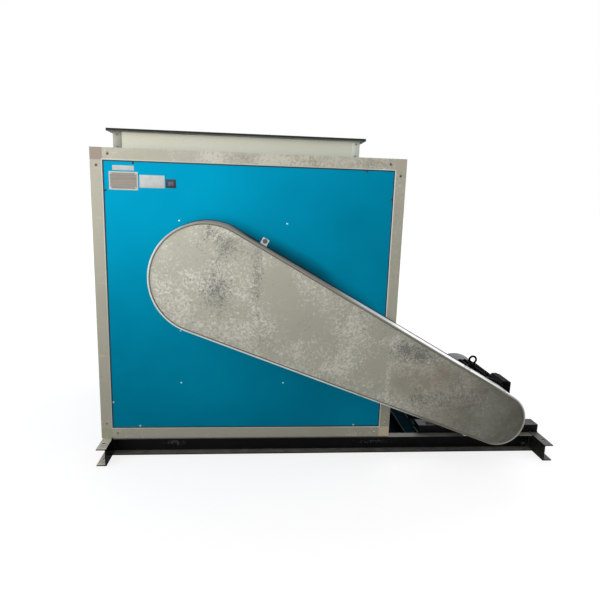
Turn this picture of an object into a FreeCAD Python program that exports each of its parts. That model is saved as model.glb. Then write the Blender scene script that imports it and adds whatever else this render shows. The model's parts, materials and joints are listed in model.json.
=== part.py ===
import FreeCAD, Part
import math
import os

# Belt driven cabinet fan. Millimetres, +Z up, +X towards the motor, +Y from the belt side to the inlet side.
# The origin is on the floor, at the centre of the four anchor holes of the base.

V = FreeCAD.Vector

# Fits
running_gap = 0.05
seat_gap = 0.05
loose_gap = 0.3

# Cabinet frame and panels
cabinet_width = 1350.0
cabinet_depth = 1200.0
cabinet_height = 1300.0
frame_size = 50.0
frame_wall = 2.0
lip_width = 16.0
lip_thickness = 2.0
panel_sheet = 1.5
panel_recess = 2.0
panel_gap = 0.5
screw_head_radius = 5.0
screw_head_height = 3.0
screw_inset = 8.5
screw_from_corner = 125.0
rivet_radius = 4.5
rivet_height = 2.5
rivet_from_corner_piece = 23.0
plate_width = 120.0
plate_height = 76.0
plate_thickness = 1.0
plate_from_left = 75.0
plate_from_top = 96.0
plate_rivet_radius = 2.5
plate_rivet_height = 1.5
plate_rivet_inset = 6.0

# Base of rolled channel
channel_height = 80.0
channel_flange = 43.0
channel_wall = 5.0
motor_bay_length = 775.0
cabinet_overhang = 5.0
rail_overhang = 10.0
cross_overhang = 110.0
anchor_inset_x = 20.0
anchor_inset_y = 54.0
anchor_radius = 7.0
pan_thickness = 4.0
pan_rise = 20.0
pan_lap = 40.0
pan_length = 400.0

# Motor rails and belt tension screws
motor_rail_height = 40.0
motor_rail_width = 70.0
motor_rail_wall = 5.0
motor_rail_lead = 94.0
motor_rail_landing = 14.0
motor_rail_end_gap = 3.0
lug_thickness = 12.0
lug_width = 50.0
lug_height = 34.0
lug_gap = 52.0
tension_screw_radius = 6.0
tension_screw_height = 11.0
tension_head_radius = 10.0
tension_head_length = 8.0
tension_head_gap = 38.0
slide_travel = 25.0
slot_spare = 6.0
slot_gap = 1.0

# Air openings
outlet_from_left = 58.0
outlet_from_right = 185.0
outlet_setback = 155.0
outlet_height = 85.0
inlet_width = 800.0
inlet_height = 800.0
inlet_length = 70.0
collar_sheet = 1.5
collar_flange = 24.0
collar_flange_thickness = 3.0
collar_foot = 18.0
collar_lap = 32.0
flange_hole_radius = 4.5
flange_holes_long = 8
flange_holes_short = 6

# Blower
shaft_from_left = 492.0
shaft_from_top = 523.0
shaft_radius = 22.5
shaft_end = 8.0
shaft_hole_gap = 14.0
impeller_radius = 315.0
impeller_half_width = 280.0
impeller_disc_thickness = 4.0
impeller_ring_thickness = 5.0
blade_count = 36
blade_thickness = 2.0
blade_depth = 51.0
blade_bow = 8.4
hub_radius = 60.0
hub_length = 120.0
hub_flange_radius = 95.0
hub_flange_thickness = 12.0
scroll_gap = 45.0
scroll_growth = 55.0
scroll_sheet = 2.0
scroll_side_gap = 63.0
mouth_from_shaft = 90.0
tongue_radius = 18.0
cone_flange_width = 21.0
cone_sheet = 2.0
cone_bend_radius = 40.0
cone_eye_gap = 7.0
cone_reach = 12.0
cone_hole_gap = 1.0
leg_offset = 150.0
leg_width = 40.0
leg_thickness = 4.0
leg_ring_gap = 10.0
bearer_size = 40.0
bearer_wall = 3.0

# Bearings and what carries them
bearing_sole = 4.0
bearing_length = 190.0
bearing_width = 54.0
bearing_foot = 20.0
bearing_ring = 19.0
sleeve_wall = 8.5
sleeve_length = 62.0
shaft_tail = 20.0
post_left_offset = 127.0
post_right_offset = 340.0
post_size = 40.0
post_wall = 4.0
beam_size = 60.0
beam_wall = 4.0
panel_rivet_rows = 4
panel_rivet_low = 270.0
panel_rivet_high = 1005.0
rear_rivet_margin = 125.0

# Belt drive
fan_pulley_radius = 177.5
motor_pulley_radius = 70.0
groove_count = 3
groove_pitch = 19.0
groove_edge = 12.5
groove_top = 16.5
groove_bottom = 10.0
groove_depth = 17.0
belt_height = 12.0
pulley_rim = 10.0
pulley_web = 14.0
fan_pulley_hub_radius = 50.0
motor_pulley_hub_radius = 34.0

# Belt guard
guard_fan_gap = 57.5
guard_motor_gap = 53.0
guard_depth = 164.0
guard_gap = 6.0
guard_sheet = 1.5
guard_lip = 10.0
guard_small_shift = 5.0
guard_small_drop = 15.0
guard_back_margin = 8.0
guard_hub_gap = 16.0
ear_length = 32.0
ear_reach = 28.0
ear_leg = 34.0
ear_thickness = 3.0
ear_upper_place = 138.0
ear_lower_places = (180.0, 620.0)
guard_bolt_radius = 7.0
guard_bolt_height = 6.0
stay_width = 40.0
stay_thickness = 3.0
stay_lap = 61.0
stay_rail_gap = 9.5
stay_offset = 60.0

# Motor
motor_from_cabinet = 456.0
motor_guard_gap = 9.5
motor_sole_gap = 13.0
motor_foot_hole_x = 216.0
motor_foot_hole_y = 178.0
motor_foot_width = 280.0
motor_foot_inner = 70.0
motor_foot_thickness = 18.0
motor_foot_margin = 30.0
motor_foot_hole_radius = 6.0
motor_foot_web = 16.0
motor_web_drop = 10.0
motor_web_bolt_gap = 2.0
motor_shoulder_to_hole = 89.0
motor_shaft_radius = 19.0
motor_shaft_length = 80.0
motor_inner_shaft_radius = 22.5
motor_barrel_radius = 119.0
motor_wall = 13.0
motor_fin_height = 14.0
motor_fin_thickness = 4.0
motor_fin_count = 30
motor_fin_free_angle = 40.0
motor_frame_front = 44.0
motor_frame_length = 262.0
shield_radius = 126.0
shield_rim = 16.0
shield_cone_radius = 92.0
shield_hub_radius = 50.0
shield_hub_setback = 3.0
shield_cone_depth = 6.0
rear_hub_length = 14.0
stator_length = 170.0
rotor_radius = 76.0
air_gap = 1.0
cowl_sheet = 1.5
cowl_end_gap = 38.0
cowl_lap = 12.0
cowl_hole_radius = 6.0
cowl_hole_pitch = 24.0
cowl_hole_margin = 10.0
cowl_ring_holes = 6
fan_hub_wall = 7.5
fan_cowl_gap = 22.0
fan_blade_root = 1.0
fan_blade_count = 7
fan_blade_thickness = 3.0
fan_disc_thickness = 3.0
fan_width = 42.0
fan_gap = 8.0
box_seat_rise = 7.0
box_length = 130.0
box_depth = 34.0
box_top = 84.0
box_flat = 28.0
box_slope_drop = 5.0
box_drop = 40.0
box_from_shoulder = 88.0
box_wall = 6.0
lid_thickness = 8.0
gland_inset = 11.0
gland_radius = 11.0
gland_length = 22.0
gland_nut_radius = 15.0
gland_nut_length = 10.0
gland_bore_radius = 7.0
eye_ring_radius = 17.5
eye_wire_radius = 5.0
eye_collar_radius = 15.0
eye_collar_height = 8.0
eye_boss_radius = 18.0
eye_boss_height = 8.0
eye_sink = 4.0
foot_bolt_radius = 5.0
foot_bolt_head_radius = 9.5
foot_bolt_head_height = 7.5
foot_nut_height = 8.0

# Places worked out from the sizes above
base_length = cabinet_width - cabinet_overhang + motor_bay_length
base_left = -base_length / 2
base_right = base_length / 2
base_top = channel_height
cabinet_size = (cabinet_width, cabinet_depth, cabinet_height)
cabinet_corner = V(base_left - cabinet_overhang, -cabinet_depth / 2, base_top)
cabinet_right = cabinet_corner.x + cabinet_width
cabinet_front = cabinet_corner.y
cabinet_rear = cabinet_front + cabinet_depth
cabinet_top = cabinet_corner.z + cabinet_height
middle_y = cabinet_front + cabinet_depth / 2
rail_inner_front = cabinet_front - rail_overhang + channel_flange
rail_inner_rear = cabinet_rear + rail_overhang - channel_flange
panel_seat = panel_recess + panel_sheet
panel_face = cabinet_front + panel_recess
panel_back = cabinet_front + panel_seat
top_sheet_face = cabinet_top - panel_recess
top_sheet_back = cabinet_top - panel_seat
inlet_x = cabinet_corner.x + cabinet_width / 2
inlet_z = cabinet_corner.z + cabinet_height / 2

fan_x = cabinet_corner.x + shaft_from_left
fan_z = cabinet_top - shaft_from_top
impeller_eye_radius = impeller_radius - blade_depth
impeller_half = impeller_disc_thickness / 2 + impeller_half_width + impeller_ring_thickness
scroll_width = 2 * (impeller_half + scroll_side_gap)
cone_throat = impeller_eye_radius - cone_eye_gap
cone_bend_centre = cone_throat + cone_bend_radius
cone_flange_radius = cone_bend_centre + cone_flange_width
sleeve_radius = shaft_radius + seat_gap + sleeve_wall
bearing_body_radius = sleeve_radius + running_gap + bearing_ring
bearing_height = bearing_body_radius + bearing_sole
bearing_y = panel_back + post_size + beam_size / 2

guard_rear = cabinet_front - guard_gap
guard_front = guard_rear - guard_depth
guard_back_face = guard_rear + guard_sheet
shield_front = guard_back_face + motor_guard_gap
motor_body_front = shield_front + shield_rim
motor_body_rear = motor_body_front + motor_frame_length
shoulder_y = motor_body_front - motor_frame_front
foot_hole_front = shoulder_y + motor_shoulder_to_hole
foot_hole_rear = foot_hole_front + motor_foot_hole_y
rail_top = base_top + motor_rail_height
motor_x = cabinet_right + motor_from_cabinet
motor_z = rail_top + motor_barrel_radius + motor_sole_gap
motor_bore_radius = motor_barrel_radius - motor_wall
foot_left = motor_x - motor_foot_width / 2
lug_right = foot_left - lug_gap
lug_left = lug_right - lug_thickness
motor_rail_left = lug_left - motor_rail_lead
fan_start = motor_body_rear + shield_rim + rear_hub_length + fan_gap
fan_end = fan_start + fan_width
fan_hub_radius = motor_inner_shaft_radius + seat_gap + fan_hub_wall
cowl_inner = shield_radius + loose_gap
box_front = shoulder_y + box_from_shoulder
box_seat = motor_barrel_radius + box_seat_rise
box_reach = box_seat + box_depth
box_shoulder = box_seat + box_flat

pulley_width = 2 * groove_edge + (groove_count - 1) * groove_pitch
pulley_y = shoulder_y - motor_shaft_length / 2
guard_big_radius = fan_pulley_radius + guard_fan_gap
guard_small_radius = motor_pulley_radius + guard_motor_gap
guard_small_x = motor_x + guard_small_shift
guard_small_z = motor_z - guard_small_drop


# Shape helpers

def box(x0, x1, y0, y1, z0, z1):
    """A block between two corners, given in any order."""
    low = V(min(x0, x1), min(y0, y1), min(z0, z1))
    return Part.makeBox(abs(x1 - x0), abs(y1 - y0), abs(z1 - z0), low)


def bar_y(radius, x, z, y0, y1):
    """A round bar along Y."""
    return Part.makeCylinder(radius, y1 - y0, V(x, y0, z), V(0, 1, 0))


def prism(points, depth):
    """A flat outline of points pushed along a vector."""
    return Part.Face(Part.makePolygon(points + [points[0]])).extrude(depth)


def turned_y(profile, x, z):
    """An outline of (radius, y) points turned about an axis along Y."""
    points = [V(x + radius, y, z) for radius, y in profile]
    face = Part.Face(Part.makePolygon(points + [points[0]]))
    return face.revolve(V(x, 0, z), V(0, 1, 0), 360)


def placed(shape, seat, direction):
    """A copy of a shape made on the XY plane, stood on a seat and pointed along a direction."""
    copy = shape.copy()
    copy.Placement = FreeCAD.Placement(seat, FreeCAD.Rotation(V(0, 0, 1), direction))
    return copy


def dome(radius, height):
    """A low domed head on the XY plane."""
    ball = (radius ** 2 + height ** 2) / (2 * height)
    half_angle = math.asin(radius / ball) / 2
    rim = V(radius, 0, 0)
    crown = V(0, 0, height)
    between = V(ball * math.sin(half_angle), 0, height - ball + ball * math.cos(half_angle))
    edges = [
        Part.LineSegment(V(0, 0, 0), rim).toShape(),
        Part.Arc(rim, between, crown).toShape(),
        Part.LineSegment(crown, V(0, 0, 0)).toShape(),
    ]
    return Part.Face(Part.Wire(edges)).revolve(V(0, 0, 0), V(0, 0, 1), 360)


def hexagon(radius, height):
    """A six sided head or nut on the XY plane, its size given across corners as a radius."""
    corners = [V(radius * math.cos(k * math.pi / 3), radius * math.sin(k * math.pi / 3), 0) for k in range(6)]
    return prism(corners, V(0, 0, height))


def mirrored_y(shape):
    """The same shape at the inlet side of the cabinet."""
    return shape.mirror(V(0, middle_y, 0), V(0, 1, 0))


def save(name, shapes):
    """Writes one piece, or a group of like pieces, to its own file."""
    whole = shapes[0] if len(shapes) == 1 else Part.makeCompound(shapes)
    whole.exportStep("parts/" + name + ".step")


# Base

def c_section(web_place, reach):
    """Corners of a standing channel: (across, up) pairs, the flanges reaching from the web to one side."""
    tip = web_place + reach
    inner = web_place + math.copysign(channel_wall, reach)
    low = channel_wall
    high = channel_height - channel_wall
    return [(web_place, 0), (tip, 0), (tip, low), (inner, low),
            (inner, high), (tip, high), (tip, channel_height), (web_place, channel_height)]


def flat_section(start, width, top, height, wall):
    """Corners of a channel lying web up: (across, up) pairs."""
    end = start + width
    foot = top - height
    return [(start, foot), (start + wall, foot), (start + wall, top - wall), (end - wall, top - wall),
            (end - wall, foot), (end, foot), (end, top), (start, top)]


def long_rail(web_place, reach):
    """A base rail along X between the webs of the two cross channels."""
    left = base_left + channel_flange
    right = base_right - channel_flange
    return prism([V(left, y, z) for y, z in c_section(web_place, reach)], V(right - left, 0, 0))


def cross_channel(web_place, reach):
    """A cross channel along Y with an anchor hole at each end, through both flanges."""
    front = cabinet_front - cross_overhang
    length = cabinet_depth + 2 * cross_overhang
    shape = prism([V(x, front, z) for x, z in c_section(web_place, reach)], V(0, length, 0))
    hole_x = web_place + reach - math.copysign(anchor_inset_x, reach)
    for hole_y in (front + anchor_inset_y, front + length - anchor_inset_y):
        shape = shape.cut(Part.makeCylinder(anchor_radius, channel_height, V(hole_x, hole_y, 0)))
    return shape


def mid_cross():
    """The cross channel that carries the motor rails, laid web up between the two base rails."""
    start = motor_rail_left + motor_rail_landing - channel_height
    section = flat_section(start, channel_height, base_top, channel_flange, channel_wall)
    length = rail_inner_rear - rail_inner_front
    return prism([V(x, rail_inner_front, z) for x, z in section], V(0, length, 0))


def base_pan():
    """The drip pan under the belts, beside the cabinet, welded between the two base rails."""
    left = cabinet_right - pan_lap
    return box(left, left + pan_length, rail_inner_front, rail_inner_rear, pan_rise, pan_rise + pan_thickness)


def motor_rail(hole_y):
    """A motor rail along X with two slots for the foot bolts and a lug for its tension screw."""
    right = base_right - motor_rail_end_gap
    start = hole_y - motor_rail_width / 2
    section = flat_section(start, motor_rail_width, rail_top, motor_rail_height, motor_rail_wall)
    shape = prism([V(motor_rail_left, y, z) for y, z in section], V(right - motor_rail_left, 0, 0))
    slot_radius = foot_bolt_radius + slot_gap
    slot_half = slide_travel + slot_spare
    for side in (-1, 1):
        centre = motor_x + side * motor_foot_hole_x / 2
        shape = shape.cut(slot(centre, hole_y, slot_radius, slot_half))
    lug = box(lug_left, lug_right, hole_y - lug_width / 2, hole_y + lug_width / 2,
              rail_top, rail_top + lug_height)
    hole = Part.makeCylinder(tension_screw_radius + loose_gap, lug_thickness,
                             V(lug_left, hole_y, rail_top + tension_screw_height), V(1, 0, 0))
    return shape.fuse(lug.cut(hole)).removeSplitter()


def slot(x, y, radius, half):
    """A cutter for a slot along X through the top wall of a motor rail."""
    low = rail_top - motor_rail_wall
    ends = [Part.makeCylinder(radius, motor_rail_wall, V(x + side * half, y, low)) for side in (-1, 1)]
    return box(x - half, x + half, y - radius, y + radius, low, rail_top).multiFuse(ends)


# Cabinet

def span(side, total, near, far):
    """Distances from one side of the cabinet, turned into a low and a high coordinate."""
    return (near, far) if side == 0 else (total - far, total - near)


def from_side(side, total, distance):
    """A distance from one side of the cabinet, turned into a coordinate."""
    return distance if side == 0 else total - distance


def cabinet_box(ranges):
    """A block given by three (low, high) pairs from the cabinet's low corner."""
    (x0, x1), (y0, y1), (z0, z1) = ranges
    block = box(x0, x1, y0, y1, z0, z1)
    block.translate(cabinet_corner)
    return block


def frame_bar(axis, sides):
    """A hollow frame bar along one axis, with the two lips that the panels beside it rest on."""
    others = [k for k in range(3) if k != axis]
    length = cabinet_size[axis]
    outer = {axis: (frame_size, length - frame_size)}
    inner = {axis: (frame_size, length - frame_size)}
    for k, side in zip(others, sides):
        outer[k] = span(side, cabinet_size[k], 0, frame_size)
        inner[k] = span(side, cabinet_size[k], frame_wall, frame_size - frame_wall)
    shape = cabinet_box([outer[k] for k in range(3)]).cut(cabinet_box([inner[k] for k in range(3)]))
    for reach, face in ((0, 1), (1, 0)):
        lip = {axis: (frame_size + lip_width, length - frame_size - lip_width)}
        inward = others[reach]
        level = others[face]
        lip[inward] = span(sides[reach], cabinet_size[inward], frame_size, frame_size + lip_width)
        lip[level] = span(sides[face], cabinet_size[level], panel_seat, panel_seat + lip_thickness)
        shape = shape.fuse(cabinet_box([lip[k] for k in range(3)]))
    return shape.removeSplitter()


def corner_pieces():
    """The eight cast corner cubes that the frame bars butt against."""
    ends = [[span(side, size, 0, frame_size) for side in (0, 1)] for size in cabinet_size]
    return [cabinet_box([x, y, z]) for x in ends[0] for y in ends[1] for z in ends[2]]


def panel(axis, side):
    """A flat sheet panel in one side of the frame."""
    ranges = [(frame_size + panel_gap, size - frame_size - panel_gap) for size in cabinet_size]
    ranges[axis] = span(side, cabinet_size[axis], panel_recess, panel_seat)
    return cabinet_box(ranges)


def front_panel():
    """The belt side panel, with the hole that the fan shaft passes through."""
    hole = bar_y(shaft_radius + shaft_hole_gap, fan_x, fan_z, panel_face, panel_back)
    return panel(1, 0).cut(hole)


def inlet_box(y0, y1, inset):
    """A block over the inlet opening, drawn in by an inset."""
    half_w = inlet_width / 2 - inset
    half_h = inlet_height / 2 - inset
    return box(inlet_x - half_w, inlet_x + half_w, y0, y1, inlet_z - half_h, inlet_z + half_h)


def rear_panel():
    """The inlet side panel, open inside the inlet collar's turned in foot."""
    return panel(1, 1).cut(inlet_box(middle_y, cabinet_rear, collar_sheet + collar_foot))


def top_panel():
    """The roof panel, open over the blower's mouth."""
    left = fan_x + mouth_from_shaft + scroll_sheet
    right = fan_x + scroll_right() - scroll_sheet
    half = scroll_width / 2
    mouth = box(left, right, middle_y - half, middle_y + half, top_sheet_back, top_sheet_face)
    return panel(2, 1).cut(mouth)


def panel_screws():
    """Domed screws round each panel, into the frame's lips. The collar covers the roof's left edge."""
    head = dome(screw_head_radius, screw_head_height)
    heads = []
    for axis in range(3):
        first, second = [k for k in range(3) if k != axis]
        for side in (0, 1):
            for along, across in ((first, second), (second, first)):
                for end in (0, 1):
                    for edge in (0, 1):
                        covered = (axis, side, across, edge) == (2, 1, 0, 0)
                        if not covered:
                            heads.append(placed(head, *screw_place(axis, side, along, across, end, edge)))
    return heads


def screw_place(axis, side, along, across, end, edge):
    """Where one panel screw sits and which way it points."""
    seat = [0.0, 0.0, 0.0]
    seat[axis] = from_side(side, cabinet_size[axis], panel_recess)
    seat[along] = from_side(end, cabinet_size[along], frame_size + screw_from_corner)
    seat[across] = from_side(edge, cabinet_size[across], frame_size + screw_inset)
    direction = [0, 0, 0]
    direction[axis] = -1 if side == 0 else 1
    return cabinet_corner + V(*seat), V(*direction)


def frame_rivets(head):
    """One rivet near each end of each frame bar, on its outer faces that don't stand on the base."""
    place = frame_size + rivet_from_corner_piece
    heads = []
    for axis in range(3):
        others = [k for k in range(3) if k != axis]
        for sides in ((0, 0), (0, 1), (1, 0), (1, 1)):
            for face in (0, 1):
                if others[face] == 2 and sides[face] == 0:
                    continue
                for end in (0, 1):
                    seat = [0.0, 0.0, 0.0]
                    seat[axis] = from_side(end, cabinet_size[axis], place)
                    seat[others[face]] = sides[face] * cabinet_size[others[face]]
                    across = others[1 - face]
                    seat[across] = from_side(sides[1 - face], cabinet_size[across], frame_size / 2)
                    direction = [0, 0, 0]
                    direction[others[face]] = 1 if sides[face] else -1
                    heads.append(placed(head, cabinet_corner + V(*seat), V(*direction)))
    return heads


def post_rivets(head):
    """Rivets that hold the front and rear panels to the bearing posts behind them."""
    step = (panel_rivet_high - panel_rivet_low) / (panel_rivet_rows - 1)
    front_rows = [cabinet_corner.z + panel_rivet_low + step * k for k in range(panel_rivet_rows)]
    margin = frame_size + rear_rivet_margin
    rear_rows = [cabinet_corner.z + margin, cabinet_top - margin]
    heads = []
    for x in (fan_x - post_left_offset, fan_x + post_right_offset):
        heads += [placed(head, V(x, panel_face, z), V(0, -1, 0)) for z in front_rows]
        heads += [placed(head, V(x, cabinet_rear - panel_recess, z), V(0, 1, 0)) for z in rear_rows]
    return heads


def plate_corner():
    """The low left corner of the blank data plate on the front panel."""
    return cabinet_corner.x + plate_from_left, cabinet_top - plate_from_top - plate_height


def nameplate():
    """The blank data plate."""
    left, low = plate_corner()
    return box(left, left + plate_width, panel_face - plate_thickness, panel_face, low, low + plate_height)


def plate_rivets():
    """Four small rivets at the data plate's corners."""
    left, low = plate_corner()
    head = dome(plate_rivet_radius, plate_rivet_height)
    xs = (left + plate_rivet_inset, left + plate_width - plate_rivet_inset)
    zs = (low + plate_rivet_inset, low + plate_height - plate_rivet_inset)
    face = panel_face - plate_thickness
    return [placed(head, V(x, face, z), V(0, -1, 0)) for x in xs for z in zs]


# Duct collars

def collar(width, depth, height):
    """Four sheets of a duct collar round Z: feet turned in, flanges turned out, side sheets lapped."""
    half_w = width / 2
    half_d = depth / 2
    under = height - collar_flange_thickness
    feet = collar_sheet + collar_foot
    sheets = []
    for side in (-1, 1):
        face = side * half_d
        back = side * (half_d - collar_sheet)
        wall_end = half_w - collar_sheet
        foot_end = half_w - feet
        wall = box(-wall_end, wall_end, back, face, 0, under)
        foot = box(-foot_end, foot_end, back, side * (half_d - feet), 0, collar_sheet)
        tip = half_w + collar_flange
        flange = box(-tip, tip, back, side * (half_d + collar_flange), under, height)
        holes = flange_holes_x(half_w, side * (half_d + collar_flange / 2), under)
        sheets.append(wall.multiFuse([foot, flange]).cut(holes).removeSplitter())
    for side in (-1, 1):
        face = side * half_w
        back = side * (half_w - collar_sheet)
        wall_end = half_d + collar_sheet
        wall = box(back, face, -wall_end, wall_end, 0, under)
        lap_end = side * (half_w - collar_lap)
        laps = [box(back, lap_end, end * half_d, end * wall_end, 0, under) for end in (-1, 1)]
        foot_end = half_d - feet
        foot = box(back, side * (half_w - feet), -foot_end, foot_end, 0, collar_sheet)
        tip = half_d - collar_sheet
        flange = box(back, side * (half_w + collar_flange), -tip, tip, under, height)
        holes = flange_holes_y(half_d, side * (half_w + collar_flange / 2), under)
        sheets.append(wall.multiFuse(laps + [foot, flange]).cut(holes).removeSplitter())
    return sheets


def flange_holes_x(half_w, y, low):
    """Cutters for the holes along a long flange, from corner to corner."""
    reach = half_w + collar_flange / 2
    step = 2 * reach / (flange_holes_long - 1)
    return flange_cutters([V(-reach + step * k, y, low) for k in range(flange_holes_long)])


def flange_holes_y(half_d, x, low):
    """Cutters for the holes along a short flange, between the corner holes."""
    reach = half_d + collar_flange / 2
    step = 2 * reach / (flange_holes_short - 1)
    return flange_cutters([V(x, -reach + step * k, low) for k in range(1, flange_holes_short - 1)])


def flange_cutters(places):
    """Cutters for bolt holes through a flange, standing on its underside."""
    depth = collar_flange_thickness
    return Part.makeCompound([Part.makeCylinder(flange_hole_radius, depth, place) for place in places])


def outlet_collar():
    """The collar that stands on the roof panel."""
    left = cabinet_corner.x + outlet_from_left
    right = cabinet_right - outlet_from_right
    sheets = collar(right - left, cabinet_depth - 2 * outlet_setback, outlet_height + panel_recess)
    for sheet in sheets:
        sheet.translate(V((left + right) / 2, middle_y, top_sheet_face))
    return sheets


def inlet_collar():
    """The collar that stands out of the rear panel."""
    sheets = collar(inlet_width, inlet_height, inlet_length + panel_recess)
    seat = V(inlet_x, cabinet_rear - panel_recess, inlet_z)
    turn = FreeCAD.Rotation(V(1, 0, 0), -90)
    for sheet in sheets:
        sheet.Placement = FreeCAD.Placement(seat, turn)
    return sheets


# Blower housing

def scroll_right():
    """How far the outside of the scroll reaches to the right of the shaft."""
    return impeller_radius + scroll_gap + scroll_sheet + 3 * scroll_growth


def scroll_outline(inset, y):
    """The closed spiral outline of the scroll, drawn in by an inset. It opens upwards, right of the shaft."""
    outer = impeller_radius + scroll_gap + scroll_sheet
    grow = scroll_growth
    r1 = outer - inset
    r2 = r1 + grow
    r3 = r2 + grow
    top = top_sheet_back - fan_z
    bend = tongue_radius + inset
    bend_x = mouth_from_shaft - tongue_radius
    bend_z = outer + tongue_radius
    half = math.sqrt(0.5)

    def at(x, z):
        return V(fan_x + x, y, fan_z + z)

    lip_top = at(mouth_from_shaft + inset, top)
    lip_low = at(mouth_from_shaft + inset, bend_z)
    tongue = at(bend_x, r1)
    start = at(0, r1)
    left = at(-r1, 0)
    low = at(grow, -r2)
    right = at(grow + r3, grow)
    right_top = at(grow + r3, top)
    edges = [
        Part.LineSegment(lip_top, lip_low),
        Part.Arc(lip_low, at(bend_x + bend * half, bend_z - bend * half), tongue),
        Part.LineSegment(tongue, start),
        Part.Arc(start, at(-r1 * half, r1 * half), left),
        Part.Arc(left, at(grow - r2 * half, -r2 * half), low),
        Part.Arc(low, at(grow + r3 * half, grow - r3 * half), right),
        Part.LineSegment(right, right_top),
        Part.LineSegment(right_top, lip_top),
    ]
    return Part.Face(Part.Wire([edge.toShape() for edge in edges]))


def scroll_wrap():
    """The rolled sheet of the scroll, between its two side plates."""
    low = middle_y - scroll_width / 2
    depth = V(0, scroll_width, 0)
    return scroll_outline(0, low).extrude(depth).cut(scroll_outline(scroll_sheet, low).extrude(depth))


def scroll_side():
    """The side plate nearer the belts, with the hole behind its inlet cone."""
    outer = middle_y - scroll_width / 2 - scroll_sheet
    plate = scroll_outline(0, outer).extrude(V(0, scroll_sheet, 0))
    return plate.cut(bar_y(cone_bend_centre + cone_hole_gap, fan_x, fan_z, outer, outer + scroll_sheet))


def inlet_cone():
    """The flared inlet ring on the side plate nearer the belts. It reaches into the impeller's eye."""
    face = middle_y - scroll_width / 2 - scroll_sheet
    end = middle_y - impeller_half + cone_reach
    sheet = cone_sheet
    back_bend = cone_bend_radius - sheet
    centre_y = face + back_bend
    half = math.sqrt(0.5)

    def at(radius, y):
        return V(fan_x + radius, y, fan_z)

    flow_bend = at(cone_bend_centre - cone_bend_radius * half, centre_y - cone_bend_radius * half)
    back_mid = at(cone_bend_centre - back_bend * half, centre_y - back_bend * half)
    corners = [
        at(cone_flange_radius, face - sheet), at(cone_bend_centre, face - sheet), at(cone_throat, centre_y),
        at(cone_throat, end), at(cone_throat + sheet, end), at(cone_throat + sheet, centre_y),
        at(cone_bend_centre, face), at(cone_flange_radius, face),
    ]
    edges = [
        Part.LineSegment(corners[0], corners[1]),
        Part.Arc(corners[1], flow_bend, corners[2]),
        Part.LineSegment(corners[2], corners[3]),
        Part.LineSegment(corners[3], corners[4]),
        Part.LineSegment(corners[4], corners[5]),
        Part.Arc(corners[5], back_mid, corners[6]),
        Part.LineSegment(corners[6], corners[7]),
        Part.LineSegment(corners[7], corners[0]),
    ]
    section = Part.Face(Part.Wire([edge.toShape() for edge in edges]))
    return section.revolve(V(fan_x, 0, fan_z), V(0, 1, 0), 360)


def scroll_stand():
    """Two bearers across the cabinet floor and the four legs that hold the scroll's side plates."""
    bearer_low = cabinet_corner.z + panel_seat + lip_thickness
    bearer_top = bearer_low + bearer_size
    face = middle_y - scroll_width / 2 - scroll_sheet
    leg_top = fan_z - math.sqrt(cone_flange_radius ** 2 - (leg_offset - leg_width / 2) ** 2) - leg_ring_gap
    pieces = []
    for side in (-1, 1):
        x = fan_x + side * leg_offset
        half = bearer_size / 2
        hollow = half - bearer_wall
        y0 = cabinet_front + frame_size
        y1 = cabinet_rear - frame_size
        tube = box(x - half, x + half, y0, y1, bearer_low, bearer_top)
        inside = box(x - hollow, x + hollow, y0, y1, bearer_low + bearer_wall, bearer_top - bearer_wall)
        pieces.append(tube.cut(inside))
        leg = box(x - leg_width / 2, x + leg_width / 2, face - leg_thickness, face, bearer_top, leg_top)
        pieces += [leg, mirrored_y(leg)]
    return pieces


# Bearings

def bearing_post(offset):
    """A channel post behind the front panel, notched round the frame's lips."""
    x = fan_x + offset
    half = post_size / 2
    low = cabinet_corner.z + frame_size
    high = cabinet_top - frame_size
    inner = half - post_wall
    end = panel_back + post_size
    post = box(x - half, x + half, panel_back, end, low, high)
    post = post.cut(box(x - inner, x + inner, panel_back + post_wall, end, low, high))
    for z0, z1 in ((low, low + lip_width), (high - lip_width, high)):
        post = post.cut(box(x - half, x + half, panel_back, panel_back + lip_thickness, z0, z1))
    return post


def bearing_beam():
    """The tube across the two posts that the front bearing stands on."""
    half = post_size / 2
    left = fan_x - post_left_offset - half
    right = fan_x + post_right_offset + half
    y0 = panel_back + post_size
    top = fan_z - bearing_height
    y1 = y0 + beam_size
    low = top - beam_size
    tube = box(left, right, y0, y1, low, top)
    return tube.cut(box(left, right, y0 + beam_wall, y1 - beam_wall, low + beam_wall, top - beam_wall))


def bearing_housing():
    """A pillow block: long foot, round body and bore."""
    half = bearing_length / 2
    y0 = bearing_y - bearing_width / 2
    y1 = bearing_y + bearing_width / 2
    low = fan_z - bearing_height
    foot = box(fan_x - half, fan_x + half, y0, y1, low, low + bearing_foot)
    body = bar_y(bearing_body_radius, fan_x, fan_z, y0, y1)
    neck = box(fan_x - bearing_body_radius, fan_x + bearing_body_radius, y0, y1, low, fan_z)
    bore = bar_y(sleeve_radius + running_gap, fan_x, fan_z, y0, y1)
    return foot.multiFuse([body, neck]).cut(bore).removeSplitter()


def ring_y(outer, inner, x, z, y0, y1):
    """A plain ring along Y."""
    return bar_y(outer, x, z, y0, y1).cut(bar_y(inner, x, z, y0, y1))


def bearing_sleeve():
    """The bearing's inner sleeve, which turns with the shaft."""
    half = sleeve_length / 2
    return ring_y(sleeve_radius, shaft_radius + seat_gap, fan_x, fan_z, bearing_y - half, bearing_y + half)


# Impeller

def fan_shaft():
    """The fan shaft, from the pulley to the rear bearing."""
    front = pulley_y - pulley_width / 2 - shaft_end
    rear = 2 * middle_y - bearing_y + sleeve_length / 2 + shaft_tail
    return bar_y(shaft_radius, fan_x, fan_z, front, rear)


def impeller_disc():
    """The centre disc that carries both sets of blades."""
    half = impeller_disc_thickness / 2
    return ring_y(impeller_radius, hub_radius + seat_gap, fan_x, fan_z, middle_y - half, middle_y + half)


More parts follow.
